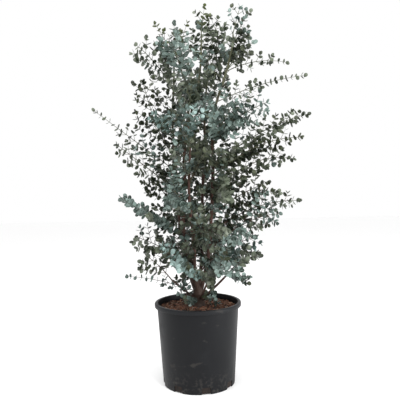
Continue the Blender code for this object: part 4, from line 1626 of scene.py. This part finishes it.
@dataclass
class Studio:
    """A plain pale floor, soft white light and the camera at the photograph's viewing angle."""

    camera_place: Place = (0.0189, -2.3128, 0.8967)
    pitch_down: float = 0.023
    roll: float = -0.019
    lens: float = 45.0
    sensor: float = 36.0
    sky_strength: float = 1.0
    floor_half: float = 12.0
    floor_shade: Colour = (0.97, 0.97, 0.97)
    lit_point: Place = (0.0, 0.0, 0.8)
    lamps: tuple[Lamp, ...] = (
        Lamp("key_light", (1.6, -2.4, 2.8), 1.2, 60.0),
        Lamp("top_light", (-0.8, -0.6, 3.4), 1.6, 50.0),
        Lamp("side_light", (2.3, -1.3, 0.7), 0.7, 30.0),
    )

    def add_camera(self) -> None:
        """The camera: forward (0, cos p, -sin p), its right and up turned by the roll."""
        pitch, roll = self.pitch_down, self.roll
        forward = Vector((0.0, math.cos(pitch), -math.sin(pitch)))
        right = Vector((1.0, 0.0, 0.0))
        up = Vector((0.0, math.sin(pitch), math.cos(pitch)))
        turned_right = right * math.cos(roll) + up * math.sin(roll)
        turned_up = up * math.cos(roll) - right * math.sin(roll)
        rotation = Matrix((turned_right, turned_up, -forward)).transposed().to_4x4()
        lens = bpy.data.cameras.new("camera")
        lens.lens = self.lens
        lens.sensor_width = self.sensor
        camera = bpy.data.objects.new("camera", lens)
        camera.matrix_world = Matrix.Translation(self.camera_place) @ rotation
        bpy.context.scene.collection.objects.link(camera)
        bpy.context.scene.camera = camera

    def add_lamp(self, lamp: Lamp) -> None:
        """Hangs a lamp so that it faces the lit point.

        Args:
            lamp: The lamp.
        """
        light = bpy.data.lights.new(lamp.name, "AREA")
        light.size = lamp.size
        light.energy = lamp.power
        made = bpy.data.objects.new(lamp.name, light)
        made.location = lamp.place
        aim = Vector(self.lit_point) - Vector(lamp.place)
        made.rotation_euler = aim.to_track_quat("-Z", "Y").to_euler()
        bpy.context.scene.collection.objects.link(made)

    def add_floor(self) -> None:
        """One square, whose corners are (+-half, +-half, 0)."""
        half = self.floor_half
        corners = [(-half, -half, 0.0), (half, -half, 0.0), (half, half, 0.0), (-half, half, 0.0)]
        mesh = bpy.data.meshes.new("floor")
        mesh.from_pydata(corners, [], [(0, 1, 2, 3)])
        paint = Paint("pale_floor", 0.8)
        paint.colour(self.floor_shade)
        mesh.materials.append(paint.material)
        floor = bpy.data.objects.new("floor", mesh)
        bpy.context.scene.collection.objects.link(floor)
        floor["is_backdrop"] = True

    def build(self) -> None:
        """Floor, white surroundings, lights and camera."""
        self.add_floor()
        world = bpy.data.worlds.new("studio")
        world.use_nodes = True
        sky = world.node_tree.nodes["Background"].inputs
        sky["Color"].default_value = (1.0, 1.0, 1.0, 1.0)
        sky["Strength"].default_value = self.sky_strength
        bpy.context.scene.world = world
        bpy.context.scene.view_settings.view_transform = "Standard"
        for lamp in self.lamps:
            self.add_lamp(lamp)
        self.add_camera()
        LOG.info("studio: %d lamps", len(self.lamps))


def main() -> None:
    """Builds each sub-assembly in order and works out the boxes of the solids and of the dressed plant."""
    logging.basicConfig(level=logging.INFO, format="%(name)s: %(message)s")
    solids_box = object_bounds()
    NurseryPot().build()
    PottingMix().build()
    BarkedLimbs().build(YoungBark().build())
    LeafyStems(Foliage(solids_box)).build()
    Studio().build()
    dressed_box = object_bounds()
    boxes = {"solids": solids_box, "dressed": dressed_box}
    lists = {name: [[float(value) for value in corner] for corner in box] for name, box in boxes.items()}


if __name__ == "__main__":
    main()
